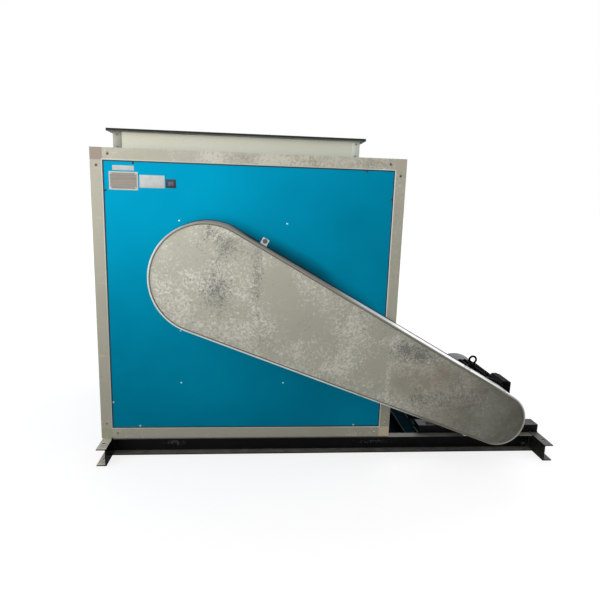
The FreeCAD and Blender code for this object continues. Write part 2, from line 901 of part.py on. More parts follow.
def impeller_hub():
    """The hub, with the flange that the disc is held against."""
    low = middle_y - hub_length / 2
    high = middle_y + hub_length / 2
    disc = middle_y + impeller_disc_thickness / 2
    flange = disc + hub_flange_thickness
    bore = shaft_radius + seat_gap
    profile = [(bore, low), (hub_radius, low), (hub_radius, disc), (hub_flange_radius, disc),
               (hub_flange_radius, flange), (hub_radius, flange), (hub_radius, high), (bore, high)]
    return turned_y(profile, fan_x, fan_z)


def impeller_rings():
    """The two end rings of the impeller."""
    inner = middle_y + impeller_half - impeller_ring_thickness
    ring = ring_y(impeller_radius, impeller_eye_radius, fan_x, fan_z, inner, inner + impeller_ring_thickness)
    return [ring, mirrored_y(ring)]


def blade_face(y):
    """The curved section of one forward curved blade, at the right of the shaft."""
    inner = impeller_eye_radius
    outer = impeller_radius - blade_thickness
    chord = outer - inner

    def at(radius, up):
        return V(fan_x + radius, y, fan_z + up)

    start = at(inner, 0)
    end = at(outer, 0)
    start_high = at(inner, blade_thickness)
    end_high = at(outer, blade_thickness)
    middle = inner + chord / 2
    edges = [
        Part.Arc(start, at(middle, -blade_bow), end),
        Part.LineSegment(end, end_high),
        Part.Arc(end_high, at(middle, blade_thickness - blade_bow), start_high),
        Part.LineSegment(start_high, start),
    ]
    return Part.Face(Part.Wire([edge.toShape() for edge in edges]))


def impeller_blades():
    """Both sets of blades, between the centre disc and the end rings."""
    start = middle_y + impeller_disc_thickness / 2
    blade = blade_face(start).extrude(V(0, impeller_half_width, 0))
    blades = []
    for half in (blade, mirrored_y(blade)):
        for k in range(blade_count):
            copy = half.copy()
            copy.rotate(V(fan_x, 0, fan_z), V(0, 1, 0), 360 / blade_count * k)
            blades.append(copy)
    return blades


# Belt drive

def pulley(radius, hub_radius_here, bore, x, z):
    """A grooved pulley with a rim, a web and a hub."""
    half = pulley_width / 2
    low = pulley_y - half
    high = pulley_y + half
    web = pulley_web / 2
    rim = radius - groove_depth - pulley_rim
    profile = [(bore, low), (hub_radius_here, low), (hub_radius_here, pulley_y - web), (rim, pulley_y - web),
               (rim, low), (radius, low)]
    for k in range(groove_count):
        centre = low + groove_edge + groove_pitch * k
        profile += [(radius, centre - groove_top / 2), (radius - groove_depth, centre - groove_bottom / 2),
                    (radius - groove_depth, centre + groove_bottom / 2), (radius, centre + groove_top / 2)]
    profile += [(radius, high), (rim, high), (rim, pulley_y + web), (hub_radius_here, pulley_y + web),
                (hub_radius_here, high), (bore, high)]
    return turned_y(profile, x, z)


def tangents(x0, z0, r0, x1, z1, r1):
    """The two directions, as angles from +X towards +Z, in which outer tangents touch a pair of circles."""
    heading = math.atan2(z1 - z0, x1 - x0)
    spread = math.acos((r0 - r1) / math.hypot(x1 - x0, z1 - z0))
    return heading + spread, heading - spread


def belt(centre_y):
    """One V belt round both pulleys: two arcs and two straight runs."""
    upper, lower = tangents(fan_x, fan_z, fan_pulley_radius, motor_x, motor_z, motor_pulley_radius)
    flank = (groove_top - groove_bottom) / 2 / groove_depth
    top = groove_top / 2 - loose_gap
    bottom = top - flank * belt_height

    def section(x, z, radius, angle):
        inner = radius - belt_height
        corners = [(radius, -top), (radius, top), (inner, bottom), (inner, -bottom)]
        points = [V(x + r * math.cos(angle), centre_y + y, z + r * math.sin(angle)) for r, y in corners]
        return Part.Face(Part.makePolygon(points + [points[0]]))

    def run(angle):
        start = section(fan_x, fan_z, fan_pulley_radius, angle)
        step = fan_pulley_radius - motor_pulley_radius
        across = V(motor_x - fan_x - step * math.cos(angle), 0, motor_z - fan_z - step * math.sin(angle))
        return start.extrude(across)

    turn = math.degrees(upper - lower)
    toward_z = V(0, -1, 0)
    big = section(fan_x, fan_z, fan_pulley_radius, upper)
    big = big.revolve(V(fan_x, 0, fan_z), toward_z, 360 - turn)
    small = section(motor_x, motor_z, motor_pulley_radius, lower)
    small = small.revolve(V(motor_x, 0, motor_z), toward_z, turn)
    return big.multiFuse([small, run(upper), run(lower)]).removeSplitter()


def drive_belts():
    """The set of belts, one in each groove."""
    low = pulley_y - pulley_width / 2 + groove_edge
    return [belt(low + groove_pitch * k) for k in range(groove_count)]


# Belt guard

def guard_outline(inset, y0, y1):
    """A block over the guard's teardrop outline, drawn in by an inset."""
    big = guard_big_radius - inset
    small = guard_small_radius - inset
    upper, lower = tangents(fan_x, fan_z, big, guard_small_x, guard_small_z, small)
    heading = (upper + lower) / 2

    def on_big(angle):
        return V(fan_x + big * math.cos(angle), y0, fan_z + big * math.sin(angle))

    def on_small(angle):
        return V(guard_small_x + small * math.cos(angle), y0, guard_small_z + small * math.sin(angle))

    edges = [
        Part.Arc(on_big(upper), on_big(heading + math.pi), on_big(lower)),
        Part.LineSegment(on_big(lower), on_small(lower)),
        Part.Arc(on_small(lower), on_small(heading), on_small(upper)),
        Part.LineSegment(on_small(upper), on_big(upper)),
    ]
    return Part.Face(Part.Wire([edge.toShape() for edge in edges])).extrude(V(0, y1 - y0, 0))


def guard_rim():
    """The rolled rim of the guard, with a narrow lip turned in round its front."""
    step = guard_front + guard_sheet
    rim = guard_outline(0, guard_front, guard_rear).cut(guard_outline(guard_sheet, step, guard_rear))
    return rim.cut(guard_outline(guard_lip, guard_front, step))


def guard_face():
    """The guard's front plate, set inside the rim behind its lip."""
    step = guard_front + guard_sheet
    return guard_outline(guard_sheet + loose_gap, step, step + guard_sheet)


def guard_back_plate():
    """The plate that closes the guard's back beyond the cabinet, open round the motor's nose as it slides."""
    back = guard_back_face
    plate = guard_outline(0, guard_rear, back)
    left = cabinet_right + guard_back_margin
    plate = plate.common(box(left, base_right, guard_rear, back, 0, cabinet_top))
    radius = shield_hub_radius + guard_hub_gap
    travel = slide_travel + slot_spare
    low = motor_z - radius
    high = motor_z + radius
    plate = plate.cut(box(motor_x - travel, motor_x + travel, guard_rear, back, low, high))
    for side in (-1, 1):
        plate = plate.cut(bar_y(radius, motor_x + side * travel, motor_z, guard_rear, back))
    return plate


def ear_places():
    """Where each ear stands on the guard's rim, and the angle of the rim's outward side there."""
    upper, lower = tangents(fan_x, fan_z, guard_big_radius, guard_small_x, guard_small_z, guard_small_radius)
    places = [(upper, -math.pi / 2, ear_upper_place)]
    places += [(lower, math.pi / 2, place) for place in ear_lower_places]
    spots = []
    for outward, quarter, place in places:
        along = outward + quarter
        x = fan_x + guard_big_radius * math.cos(outward) + place * math.cos(along)
        z = fan_z + guard_big_radius * math.sin(outward) + place * math.sin(along)
        spots.append((V(x, panel_face, z), outward))
    return spots


def guard_ear(seat, outward):
    """An angle ear: one leg on the panel, the other along the guard's rim."""
    half = ear_length / 2
    leg = box(-half, half, -ear_thickness, 0, 0, ear_reach)
    flange = box(-half, half, -ear_leg, 0, 0, ear_thickness)
    ear = leg.fuse(flange).removeSplitter()
    turn = FreeCAD.Rotation(V(0, 1, 0), 90 - math.degrees(outward))
    ear.Placement = FreeCAD.Placement(seat, turn)
    return ear


def guard_stay(side):
    """An angle stay from the front base rail up to the guard's back plate."""
    x = motor_x + side * stay_offset
    half = stay_width / 2
    face = guard_back_face
    top = guard_small_z - guard_small_radius + stay_lap
    foot_end = foot_hole_front - motor_rail_width / 2 - stay_rail_gap
    leg = box(x - half, x + half, face, face + stay_thickness, base_top, top)
    foot = box(x - half, x + half, face, foot_end, base_top, base_top + stay_thickness)
    return leg.fuse(foot).removeSplitter()


def guard_brackets():
    """The guard's ears and stays."""
    return [guard_ear(*spot) for spot in ear_places()] + [guard_stay(side) for side in (-1, 1)]


def guard_bolts():
    """A bolt head on the middle of each ear."""
    head = hexagon(guard_bolt_radius, guard_bolt_height)
    reach = (ear_thickness + ear_reach) / 2
    bolts = []
    for seat, outward in ear_places():
        middle = V(reach * math.cos(outward), -ear_thickness, reach * math.sin(outward))
        bolts.append(placed(head, seat + middle, V(0, -1, 0)))
    return bolts


# Motor

def finned_ring():
    """The motor's finned barrel, with no fins between the feet."""
    points = []
    barrel = motor_barrel_radius
    tip = barrel + motor_fin_height
    for k in range(motor_fin_count):
        angle = math.pi / 2 + 2 * math.pi * (k + 0.5) / motor_fin_count
        from_bottom = math.degrees(abs(angle - 3 * math.pi / 2))
        reach = barrel if from_bottom < motor_fin_free_angle else tip
        for radius, side in ((barrel, -1), (reach, -1), (reach, 1), (barrel, 1)):
            turn = angle + side * motor_fin_thickness / 2 / radius
            point = V(motor_x + radius * math.cos(turn), motor_body_front, motor_z + radius * math.sin(turn))
            if not points or not point.isEqual(points[-1], running_gap):
                points.append(point)
    return prism(points, V(0, motor_frame_length, 0))


def foot_block(side):
    """One foot of the motor, with its web up to the barrel and two bolt holes."""
    y0 = foot_hole_front - motor_foot_margin
    y1 = foot_hole_rear + motor_foot_margin
    top = rail_top + motor_foot_thickness
    hole_x = motor_x + side * motor_foot_hole_x / 2
    inner = motor_x + side * motor_foot_inner
    foot = box(inner, motor_x + side * motor_foot_width / 2, y0, y1, rail_top, top)
    web_y0 = foot_hole_front + foot_bolt_head_radius + motor_web_bolt_gap
    web_y1 = foot_hole_rear - foot_bolt_head_radius - motor_web_bolt_gap
    web = box(inner, hole_x + side * motor_foot_web / 2, web_y0, web_y1, top, motor_z - motor_web_drop)
    shape = foot.fuse(web)
    for hole_y in (foot_hole_front, foot_hole_rear):
        spot = V(hole_x, hole_y, rail_top)
        shape = shape.cut(Part.makeCylinder(motor_foot_hole_radius, motor_foot_thickness, spot))
    return shape


def eye_spot():
    """The top of the boss that the lifting eye screws into."""
    height = motor_z + motor_barrel_radius + motor_fin_height + eye_boss_height
    return V(motor_x, (foot_hole_front + foot_hole_rear) / 2, height)


def motor_frame():
    """The cast motor body: finned barrel, feet, lifting boss and the seat of the terminal box."""
    spot = eye_spot()
    boss = Part.makeCylinder(eye_boss_radius, spot.z - motor_z, V(spot.x, spot.y, motor_z))
    box_rear = box_front + box_length
    box_low = motor_z - box_drop
    box_high = motor_z + box_top
    seat = box(motor_x, motor_x + box_seat, box_front, box_rear, box_low, box_high - box_wall)
    clear = box(motor_x + box_seat, motor_x + box_reach, box_front - loose_gap, box_rear + loose_gap,
                box_low - loose_gap, box_high + loose_gap)
    shape = finned_ring().multiFuse([foot_block(-1), foot_block(1), boss, seat])
    bore = bar_y(motor_bore_radius, motor_x, motor_z, motor_body_front, motor_body_rear)
    return shape.cut(clear).cut(bore).removeSplitter()


def end_shields():
    """The two end shields, each with a bearing bore for the motor shaft."""
    bore = motor_inner_shaft_radius + running_gap
    front = [(bore, shoulder_y + shield_hub_setback), (shield_hub_radius, shoulder_y + shield_hub_setback),
             (shield_hub_radius, shield_front - shield_cone_depth), (shield_cone_radius, shield_front),
             (shield_radius, shield_front), (shield_radius, motor_body_front), (bore, motor_body_front)]
    rear_rim = motor_body_rear + shield_rim
    rear = [(bore, motor_body_rear), (shield_radius, motor_body_rear), (shield_radius, rear_rim),
            (shield_hub_radius, rear_rim), (shield_hub_radius, rear_rim + rear_hub_length),
            (bore, rear_rim + rear_hub_length)]
    return [turned_y(front, motor_x, motor_z), turned_y(rear, motor_x, motor_z)]


def fan_cowl():
    """The sheet cowl over the motor's cooling fan, with rings of air holes in its end."""
    start = motor_body_rear + shield_rim - cowl_lap
    inside = fan_end + cowl_end_gap
    end = inside + cowl_sheet
    outer = cowl_inner + cowl_sheet
    profile = [(cowl_inner, start), (outer, start), (outer, end), (0, end), (0, inside), (cowl_inner, inside)]
    rings = int((cowl_inner - cowl_hole_margin - cowl_hole_radius) / cowl_hole_pitch)
    holes = []
    for ring in range(1, rings + 1):
        radius = ring * cowl_hole_pitch
        count = ring * cowl_ring_holes
        for k in range(count):
            angle = 2 * math.pi * k / count
            x = motor_x + radius * math.cos(angle)
            z = motor_z + radius * math.sin(angle)
            holes.append(bar_y(cowl_hole_radius, x, z, inside, end))
    return turned_y(profile, motor_x, motor_z).cut(Part.makeCompound(holes))


def cooling_fan():
    """The motor's cooling fan: hub, back disc and straight blades."""
    bore = motor_inner_shaft_radius + seat_gap
    tip = cowl_inner - fan_cowl_gap
    disc = fan_start + fan_disc_thickness
    profile = [(bore, fan_start), (tip, fan_start), (tip, disc), (fan_hub_radius, disc),
               (fan_hub_radius, fan_end), (bore, fan_end)]
    blade = box(motor_x + fan_hub_radius - fan_blade_root, motor_x + tip, disc, fan_end,
                motor_z - fan_blade_thickness / 2, motor_z + fan_blade_thickness / 2)
    blades = []
    for k in range(fan_blade_count):
        copy = blade.copy()
        copy.rotate(V(motor_x, 0, motor_z), V(0, 1, 0), 360 / fan_blade_count * k)
        blades.append(copy)
    return turned_y(profile, motor_x, motor_z).multiFuse(blades).removeSplitter()


def motor_shaft():
    """The motor shaft: a pulley end and a thicker body through both end shields to the cooling fan."""
    nose = bar_y(motor_shaft_radius, motor_x, motor_z, shoulder_y - motor_shaft_length, shoulder_y)
    body = bar_y(motor_inner_shaft_radius, motor_x, motor_z, shoulder_y, fan_end)
    return nose.fuse(body)


def core_ends():
    """Where the motor's iron cores start and end along Y."""
    middle = (motor_body_front + motor_body_rear) / 2
    return middle - stator_length / 2, middle + stator_length / 2


def motor_stator():
    """The stator core in the motor's bore."""
    return ring_y(motor_bore_radius - seat_gap, rotor_radius + air_gap, motor_x, motor_z, *core_ends())


def motor_rotor_core():
    """The rotor core on the motor shaft."""
    return ring_y(rotor_radius, motor_inner_shaft_radius + seat_gap, motor_x, motor_z, *core_ends())


def terminal_box():
    """The terminal box on the motor's side, with a chamfered top edge and an open face for its lid."""
    shoulder = box_top - box_slope_drop
    outline = [(box_seat, -box_drop), (box_reach, -box_drop), (box_reach, shoulder), (box_shoulder, box_top),
               (box_seat, box_top)]
    points = [V(motor_x + x, box_front, motor_z + z) for x, z in outline]
    body = prism(points, V(0, box_length, 0))
    hollow = box(motor_x + box_seat + box_wall, motor_x + box_reach,
                 box_front + box_wall, box_front + box_length - box_wall,
                 motor_z - box_drop + box_wall, motor_z + shoulder - box_wall)
    entry = Part.makeCylinder(gland_bore_radius, box_wall, V(*gland_spot()))
    return body.cut(hollow).cut(entry)


def terminal_lid():
    """The terminal box's lid."""
    face = motor_x + box_reach
    return box(face, face + lid_thickness, box_front, box_front + box_length,
               motor_z - box_drop, motor_z + box_top - box_slope_drop)


def gland_spot():
    """Where the cable gland meets the underside of the terminal box."""
    return motor_x + box_reach - gland_inset, box_front + box_length / 2, motor_z - box_drop


def cable_gland():
    """The cable gland under the terminal box, open for a cable."""
    x, y, z = gland_spot()
    nut = placed(hexagon(gland_nut_radius, gland_nut_length), V(x, y, z), V(0, 0, -1))
    body = Part.makeCylinder(gland_radius, gland_length, V(x, y, z - gland_length))
    return nut.fuse(body).cut(Part.makeCylinder(gland_bore_radius, gland_length, V(x, y, z - gland_length)))


def lifting_eye():
    """The lifting eye on top of the motor, its ring facing the belt side."""
    spot = eye_spot()
    collar_shape = Part.makeCylinder(eye_collar_radius, eye_collar_height, spot)
    height = eye_collar_height + eye_ring_radius + eye_wire_radius - eye_sink
    ring = Part.makeTorus(eye_ring_radius, eye_wire_radius, spot + V(0, 0, height), V(0, 1, 0))
    return collar_shape.fuse(ring)


def foot_bolts():
    """Four bolts through the motor's feet and the rails' slots, each with its nut."""
    bolts = []
    foot_top = rail_top + motor_foot_thickness
    under = rail_top - motor_rail_wall
    bolt_head = hexagon(foot_bolt_head_radius, foot_bolt_head_height)
    bolt_nut = hexagon(foot_bolt_head_radius, foot_nut_height)
    for side in (-1, 1):
        for y in (foot_hole_front, foot_hole_rear):
            x = motor_x + side * motor_foot_hole_x / 2
            head = placed(bolt_head, V(x, y, foot_top), V(0, 0, 1))
            nut = placed(bolt_nut, V(x, y, under), V(0, 0, -1))
            shank = Part.makeCylinder(foot_bolt_radius, foot_top - under, V(x, y, under))
            bolts.append(head.multiFuse([nut, shank]))
    return bolts


def tension_screws():
    """Two screws through the rails' lugs. Their tips meet the motor's feet, and they travel with it."""
    head_right = lug_left - tension_head_gap
    screw_head = hexagon(tension_head_radius, tension_head_length)
    screws = []
    for y in (foot_hole_front, foot_hole_rear):
        seat = V(head_right, y, rail_top + tension_screw_height)
        shank = Part.makeCylinder(tension_screw_radius, foot_left - head_right, seat, V(1, 0, 0))
        screws.append(shank.fuse(placed(screw_head, seat, V(-1, 0, 0))))
    return screws


def main():
    """Makes every piece and writes it to its own file."""
    os.makedirs("parts", exist_ok=True)
    save("base_rail_front", [long_rail(rail_inner_front, -channel_flange)])
    save("base_rail_rear", [long_rail(rail_inner_rear, channel_flange)])
    save("base_cross_left", [cross_channel(base_left + channel_flange, -channel_flange)])
    save("base_cross_right", [cross_channel(base_right - channel_flange, channel_flange)])
    save("base_cross_mid", [mid_cross()])
    save("base_pan", [base_pan()])
    save("motor_rail_front", [motor_rail(foot_hole_front)])
    save("motor_rail_rear", [motor_rail(foot_hole_rear)])

    save("frame_posts", [frame_bar(2, (x, y)) for x in (0, 1) for y in (0, 1)])
    save("frame_side_rails", [frame_bar(1, (x, z)) for x in (0, 1) for z in (0, 1)])
    for level, z in (("bottom", 0), ("top", 1)):
        for place, y in (("front", 0), ("rear", 1)):
            save("frame_" + level + "_rail_" + place, [frame_bar(0, (y, z))])
    save("frame_corners", corner_pieces())
    save("front_panel", [front_panel()])
    save("rear_panel", [rear_panel()])
    save("left_panel", [panel(0, 0)])
    save("right_panel", [panel(0, 1)])
    save("bottom_panel", [panel(2, 0)])
    save("top_panel", [top_panel()])
    rivet = dome(rivet_radius, rivet_height)
    save("rivets", frame_rivets(rivet) + post_rivets(rivet) + plate_rivets())
    save("panel_screws", panel_screws())
    save("nameplate", [nameplate()])
    save("outlet_collar", outlet_collar())
    save("inlet_collar", inlet_collar())

    save("scroll_wrap", [scroll_wrap()])
    save("scroll_side_front", [scroll_side()])
    save("scroll_side_rear", [mirrored_y(scroll_side())])
    save("inlet_cone_front", [inlet_cone()])
    save("inlet_cone_rear", [mirrored_y(inlet_cone())])
    save("scroll_stand", scroll_stand())
    posts = [bearing_post(offset) for offset in (-post_left_offset, post_right_offset)]
    save("bearing_posts", posts + [mirrored_y(post) for post in posts])
    save("bearing_beams", [bearing_beam(), mirrored_y(bearing_beam())])
    save("bearing_housings", [bearing_housing(), mirrored_y(bearing_housing())])
    save("bearing_sleeves", [bearing_sleeve(), mirrored_y(bearing_sleeve())])
    save("fan_shaft", [fan_shaft()])
    save("impeller_disc", [impeller_disc()])
    save("impeller_hub", [impeller_hub()])
    save("impeller_rings", impeller_rings())
    save("impeller_blades", impeller_blades())

    fan_bore = shaft_radius + seat_gap
    save("fan_pulley", [pulley(fan_pulley_radius, fan_pulley_hub_radius, fan_bore, fan_x, fan_z)])
    motor_bore = motor_shaft_radius + seat_gap
    save("motor_pulley", [pulley(motor_pulley_radius, motor_pulley_hub_radius, motor_bore, motor_x, motor_z)])
    save("drive_belts", drive_belts())
    save("guard_rim", [guard_rim()])
    save("guard_face", [guard_face()])
    save("guard_back_plate", [guard_back_plate()])
    save("guard_brackets", guard_brackets())
    save("guard_bolts", guard_bolts())

    save("motor_frame", [motor_frame()])
    save("motor_end_shields", end_shields())
    save("motor_fan_cowl", [fan_cowl()])
    save("motor_cooling_fan", [cooling_fan()])
    save("motor_shaft", [motor_shaft()])
    save("motor_stator", [motor_stator()])
    save("motor_rotor_core", [motor_rotor_core()])
    save("terminal_box", [terminal_box()])
    save("terminal_lid", [terminal_lid()])
    save("cable_gland", [cable_gland()])
    save("lifting_eye", [lifting_eye()])
    save("motor_foot_bolts", foot_bolts())
    save("tension_screws", tension_screws())


main()
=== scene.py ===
"""Looks of a belt driven cabinet fan: its finishes, small fittings, belts and a plain studio."""
import json
import logging
import math
from dataclasses import dataclass, replace
from enum import Enum

import bmesh
import bpy
from mathutils import Matrix, Vector


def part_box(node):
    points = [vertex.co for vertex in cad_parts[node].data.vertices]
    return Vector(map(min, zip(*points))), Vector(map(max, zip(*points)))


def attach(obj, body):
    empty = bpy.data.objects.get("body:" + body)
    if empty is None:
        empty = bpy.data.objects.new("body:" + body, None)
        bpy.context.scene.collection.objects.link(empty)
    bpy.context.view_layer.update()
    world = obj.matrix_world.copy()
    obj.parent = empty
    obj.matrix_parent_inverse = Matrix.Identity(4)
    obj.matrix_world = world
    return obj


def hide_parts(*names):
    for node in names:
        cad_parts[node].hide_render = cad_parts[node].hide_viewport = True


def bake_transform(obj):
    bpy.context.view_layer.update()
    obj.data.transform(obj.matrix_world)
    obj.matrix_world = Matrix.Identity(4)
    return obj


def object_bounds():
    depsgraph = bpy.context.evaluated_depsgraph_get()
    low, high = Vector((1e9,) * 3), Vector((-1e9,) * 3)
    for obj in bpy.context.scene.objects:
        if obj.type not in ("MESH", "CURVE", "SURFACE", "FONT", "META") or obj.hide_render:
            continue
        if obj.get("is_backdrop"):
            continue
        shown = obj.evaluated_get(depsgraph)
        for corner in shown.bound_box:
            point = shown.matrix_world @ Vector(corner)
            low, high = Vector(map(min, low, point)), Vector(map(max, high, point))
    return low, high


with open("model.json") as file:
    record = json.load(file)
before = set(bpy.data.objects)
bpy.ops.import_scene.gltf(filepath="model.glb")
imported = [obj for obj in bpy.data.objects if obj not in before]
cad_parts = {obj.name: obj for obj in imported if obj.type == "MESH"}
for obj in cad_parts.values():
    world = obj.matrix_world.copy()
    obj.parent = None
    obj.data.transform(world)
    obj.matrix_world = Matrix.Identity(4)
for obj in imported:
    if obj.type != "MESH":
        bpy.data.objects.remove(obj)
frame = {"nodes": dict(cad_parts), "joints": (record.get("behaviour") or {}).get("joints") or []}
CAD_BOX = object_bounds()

MM = 0.001
FULL_TURN = 2 * math.pi
SHARP_ANGLE = math.radians(32)
MERGE = 0.01 * MM
RIGHT = Vector((1, 0, 0))
BACK = Vector((0, 1, 0))
FRONT = Vector((0, -1, 0))
UP = Vector((0, 0, 1))
logger = logging.getLogger("cabinet_fan")

Socket = bpy.types.NodeSocket
Inputs = dict[str | int, object]
Feeds = dict[str, Socket]
Edges = list[bmesh.types.BMEdge]
Marks = tuple[tuple[float, float, float, float, float], ...]


class Body(Enum):
    """The bodies of the frame that new pieces ride on."""

    BASE = "base"
    CARRIAGE = "motor_carriage"


class Slot(Enum):
    """The record's material slots, named where new pieces are finished."""

    BASE_PAINT = "base_paint"
    FASTENERS = "fasteners"
    FRAME = "frame_profile"
    GUARD = "guard_sheet"
    PLATE = "plate_metal"
    PLASTIC = "moulded_plastic"
    RUBBER = "belt_rubber"


class Turning(Enum):
    """Turned fittings: the facets round each, and its outline in shares of its radius and height."""

    PLATE_RIVET = 14, ((0, 0), (1, 0), (0.875, 0.5625), (0.4375, 0.9375), (0, 1))
    LAP_RIVET = 14, ((0, 0), (1, 0), (0.85, 0.6), (0.4, 0.95), (0, 1))
    RIVET_CAP = 16, ((0, 0), (1, 0), (0.92, 0.5), (0.5, 0.9), (0, 1))
    DOME_SCREW = 16, ((0, 0), (1, 0), (0.9, 0.5), (0.5, 0.92), (0, 1))
    RIVET_WASHER = 20, ((0, 0), (1, 0), (0.9, 1), (0, 1))
    STRAP_WASHER = 20, ((0, 0), (1, 0), (1, 0.7), (0.94, 1), (0, 1))
    BEARING_WASHER = 24, ((0, 0), (1, 0), (1, 0.8), (0.95, 1), (0, 1))


@dataclass(frozen=True)
class Spot:
    """A place where a pattern gathers, or keeps away at a negative strength, fading out to its reach."""

    centre: Vector
    reach: Vector
    strength: float
    lean: float


@dataclass(frozen=True)
class Tone:
    """A second colour that comes in along a direction."""

    colour: str
    way: Vector
    start: float
    end: float
    amount: float = 1.0


Spots = tuple[Spot, ...]
Tones = tuple[Tone, ...]


def flat_spots(level: float, marks: Marks, lean: float = 0.0) -> Spots:
    """Turn marks on an upright face into spots.

    Args:
        level: The face's place from front to back.
        marks: For each, its middle across and up, its reach across and up, all in mm, and its strength.
        lean: The slope of every mark's long axis in degrees.

    Returns:
        One spot for each mark.
    """
    turn = math.radians(lean)
    return tuple(
        Spot(Vector((x * MM, level, z * MM)), Vector((wide * MM, 1.0, tall * MM)), strength, turn)
        for x, z, wide, tall, strength in marks)


def linear(hex_colour: str) -> tuple[float, float, float, float]:
    """Turn an sRGB hex colour into the linear values that sockets take.

    Args:
        hex_colour: A colour such as "#00A0C6".

    Returns:
        Linear red, green, blue and an alpha of 1.
    """
    levels = [int(hex_colour[start:start + 2], 16) / 255 for start in (1, 3, 5)]
    red, green, blue = (v / 12.92 if v <= 0.04045 else ((v + 0.055) / 1.055) ** 2.4 for v in levels)
    return red, green, blue, 1.0


class Nodes:
    """A node tree in the making, with the coordinates that its patterns read."""

    def __init__(self, tree: bpy.types.NodeTree, coordinates: str = "Object") -> None:
        """Start in a tree with one kind of coordinates."""
        self.tree = tree
        self.place = self.add("TexCoord", output=coordinates)

    def add(self, kind: str, inputs: Inputs | None = None, output: str = "",
            **settings: object) -> Socket | None:
        """Add one node with its settings, links and constant values.

        Args:
            kind: The node's type name after "ShaderNode".
            inputs: By name or index, the socket that feeds an input, or its constant value or hex colour.
            output: The output wanted, if it isn't the first in use.
            settings: The node's own options, such as operation.

        Returns:
            The node's output, where it has one.
        """
        node = self.tree.nodes.new("ShaderNode" + kind)
        for option, choice in settings.items():
            setattr(node, option, choice)
        for name, value in (inputs or {}).items():
            if isinstance(value, Socket):
                self.tree.links.new(value, node.inputs[name])
            else:
                node.inputs[name].default_value = linear(value) if isinstance(value, str) else value
        return node.outputs[output] if output else next((out for out in node.outputs if out.enabled), None)

    def cover(self, below: str | Socket, above: str | Socket, pattern: Socket, start: float, end: float,
              amount: float = 1.0) -> Socket:
        """Lay one colour over another where a pattern rises.

        Args:
            below: The colour that is there.
            above: The colour that comes over it.
            pattern: What rises and falls.
            start: The level at which the upper colour begins.
            end: The level at which it is full.
            amount: How much it then hides.

        Returns:
            The new colour.
        """
        share = self.add("MapRange", {"Value": pattern, "From Min": start, "From Max": end, "To Max": amount})
        return self.add("Mix", {0: share, 6: below, 7: above}, data_type="RGBA")

    def gather(self, noise: Socket, spots: Spots) -> Socket:
        """Raise a noise round some spots, so that a pattern cut from it gathers there.

        Args:
            noise: The noise to change.
            spots: Where it rises or falls.

        Returns:
            The changed noise.
        """
        for spot in spots:
            away = self.add("VectorMath", {0: self.place, 1: spot.centre}, operation="SUBTRACT")
            turned = self.add("VectorRotate", {"Vector": away, "Angle": spot.lean}, rotation_type="Y_AXIS")
            scaled = self.add("VectorMath", {0: turned, 1: spot.reach}, operation="DIVIDE")
            far = self.add("VectorMath", {0: scaled}, operation="LENGTH")
            near = self.add("MapRange", {"Value": far, "To Min": spot.strength, "To Max": 0.0})
            noise = self.add("Math", {0: noise, 1: near}, operation="ADD")
        return noise

    def bring_in(self, colour: Socket, tones: Tones) -> Socket:
        """Bring further tones in over a colour.

        Args:
            colour: The colour below.
            tones: What comes in, in this order.

        Returns:
            The changed colour.
        """
        for tone in tones:
            along = self.add("VectorMath", {0: self.place, 1: tone.way}, operation="DOT_PRODUCT")
            colour = self.cover(colour, tone.colour, along, tone.start, tone.end, tone.amount)
        return colour


@dataclass(frozen=True)
class Finish:
    """What every finish has: a name and the values that are the same all over the surface."""

    name: str
    metallic: float = 0.0
    specular: float = 0.5

    def material(self) -> bpy.types.Material:
        """Make the finish's material.

        Returns:
            A node material that reads Object coordinates.
        """
        made = bpy.data.materials.new(self.name)
        made.use_nodes = True
        tree = made.node_tree
        shader = tree.nodes["Principled BSDF"]
        shader.inputs["Metallic"].default_value = self.metallic
        shader.inputs["Specular IOR Level"].default_value = self.specular
        for name, source in self.lay(Nodes(tree)).items():
            tree.links.new(source, shader.inputs[name])
        return made

    def lay(self, nodes: Nodes) -> Feeds:
        """Lay the finish's patterns and give what feeds the shader. Each kind of finish has its own."""
        raise NotImplementedError


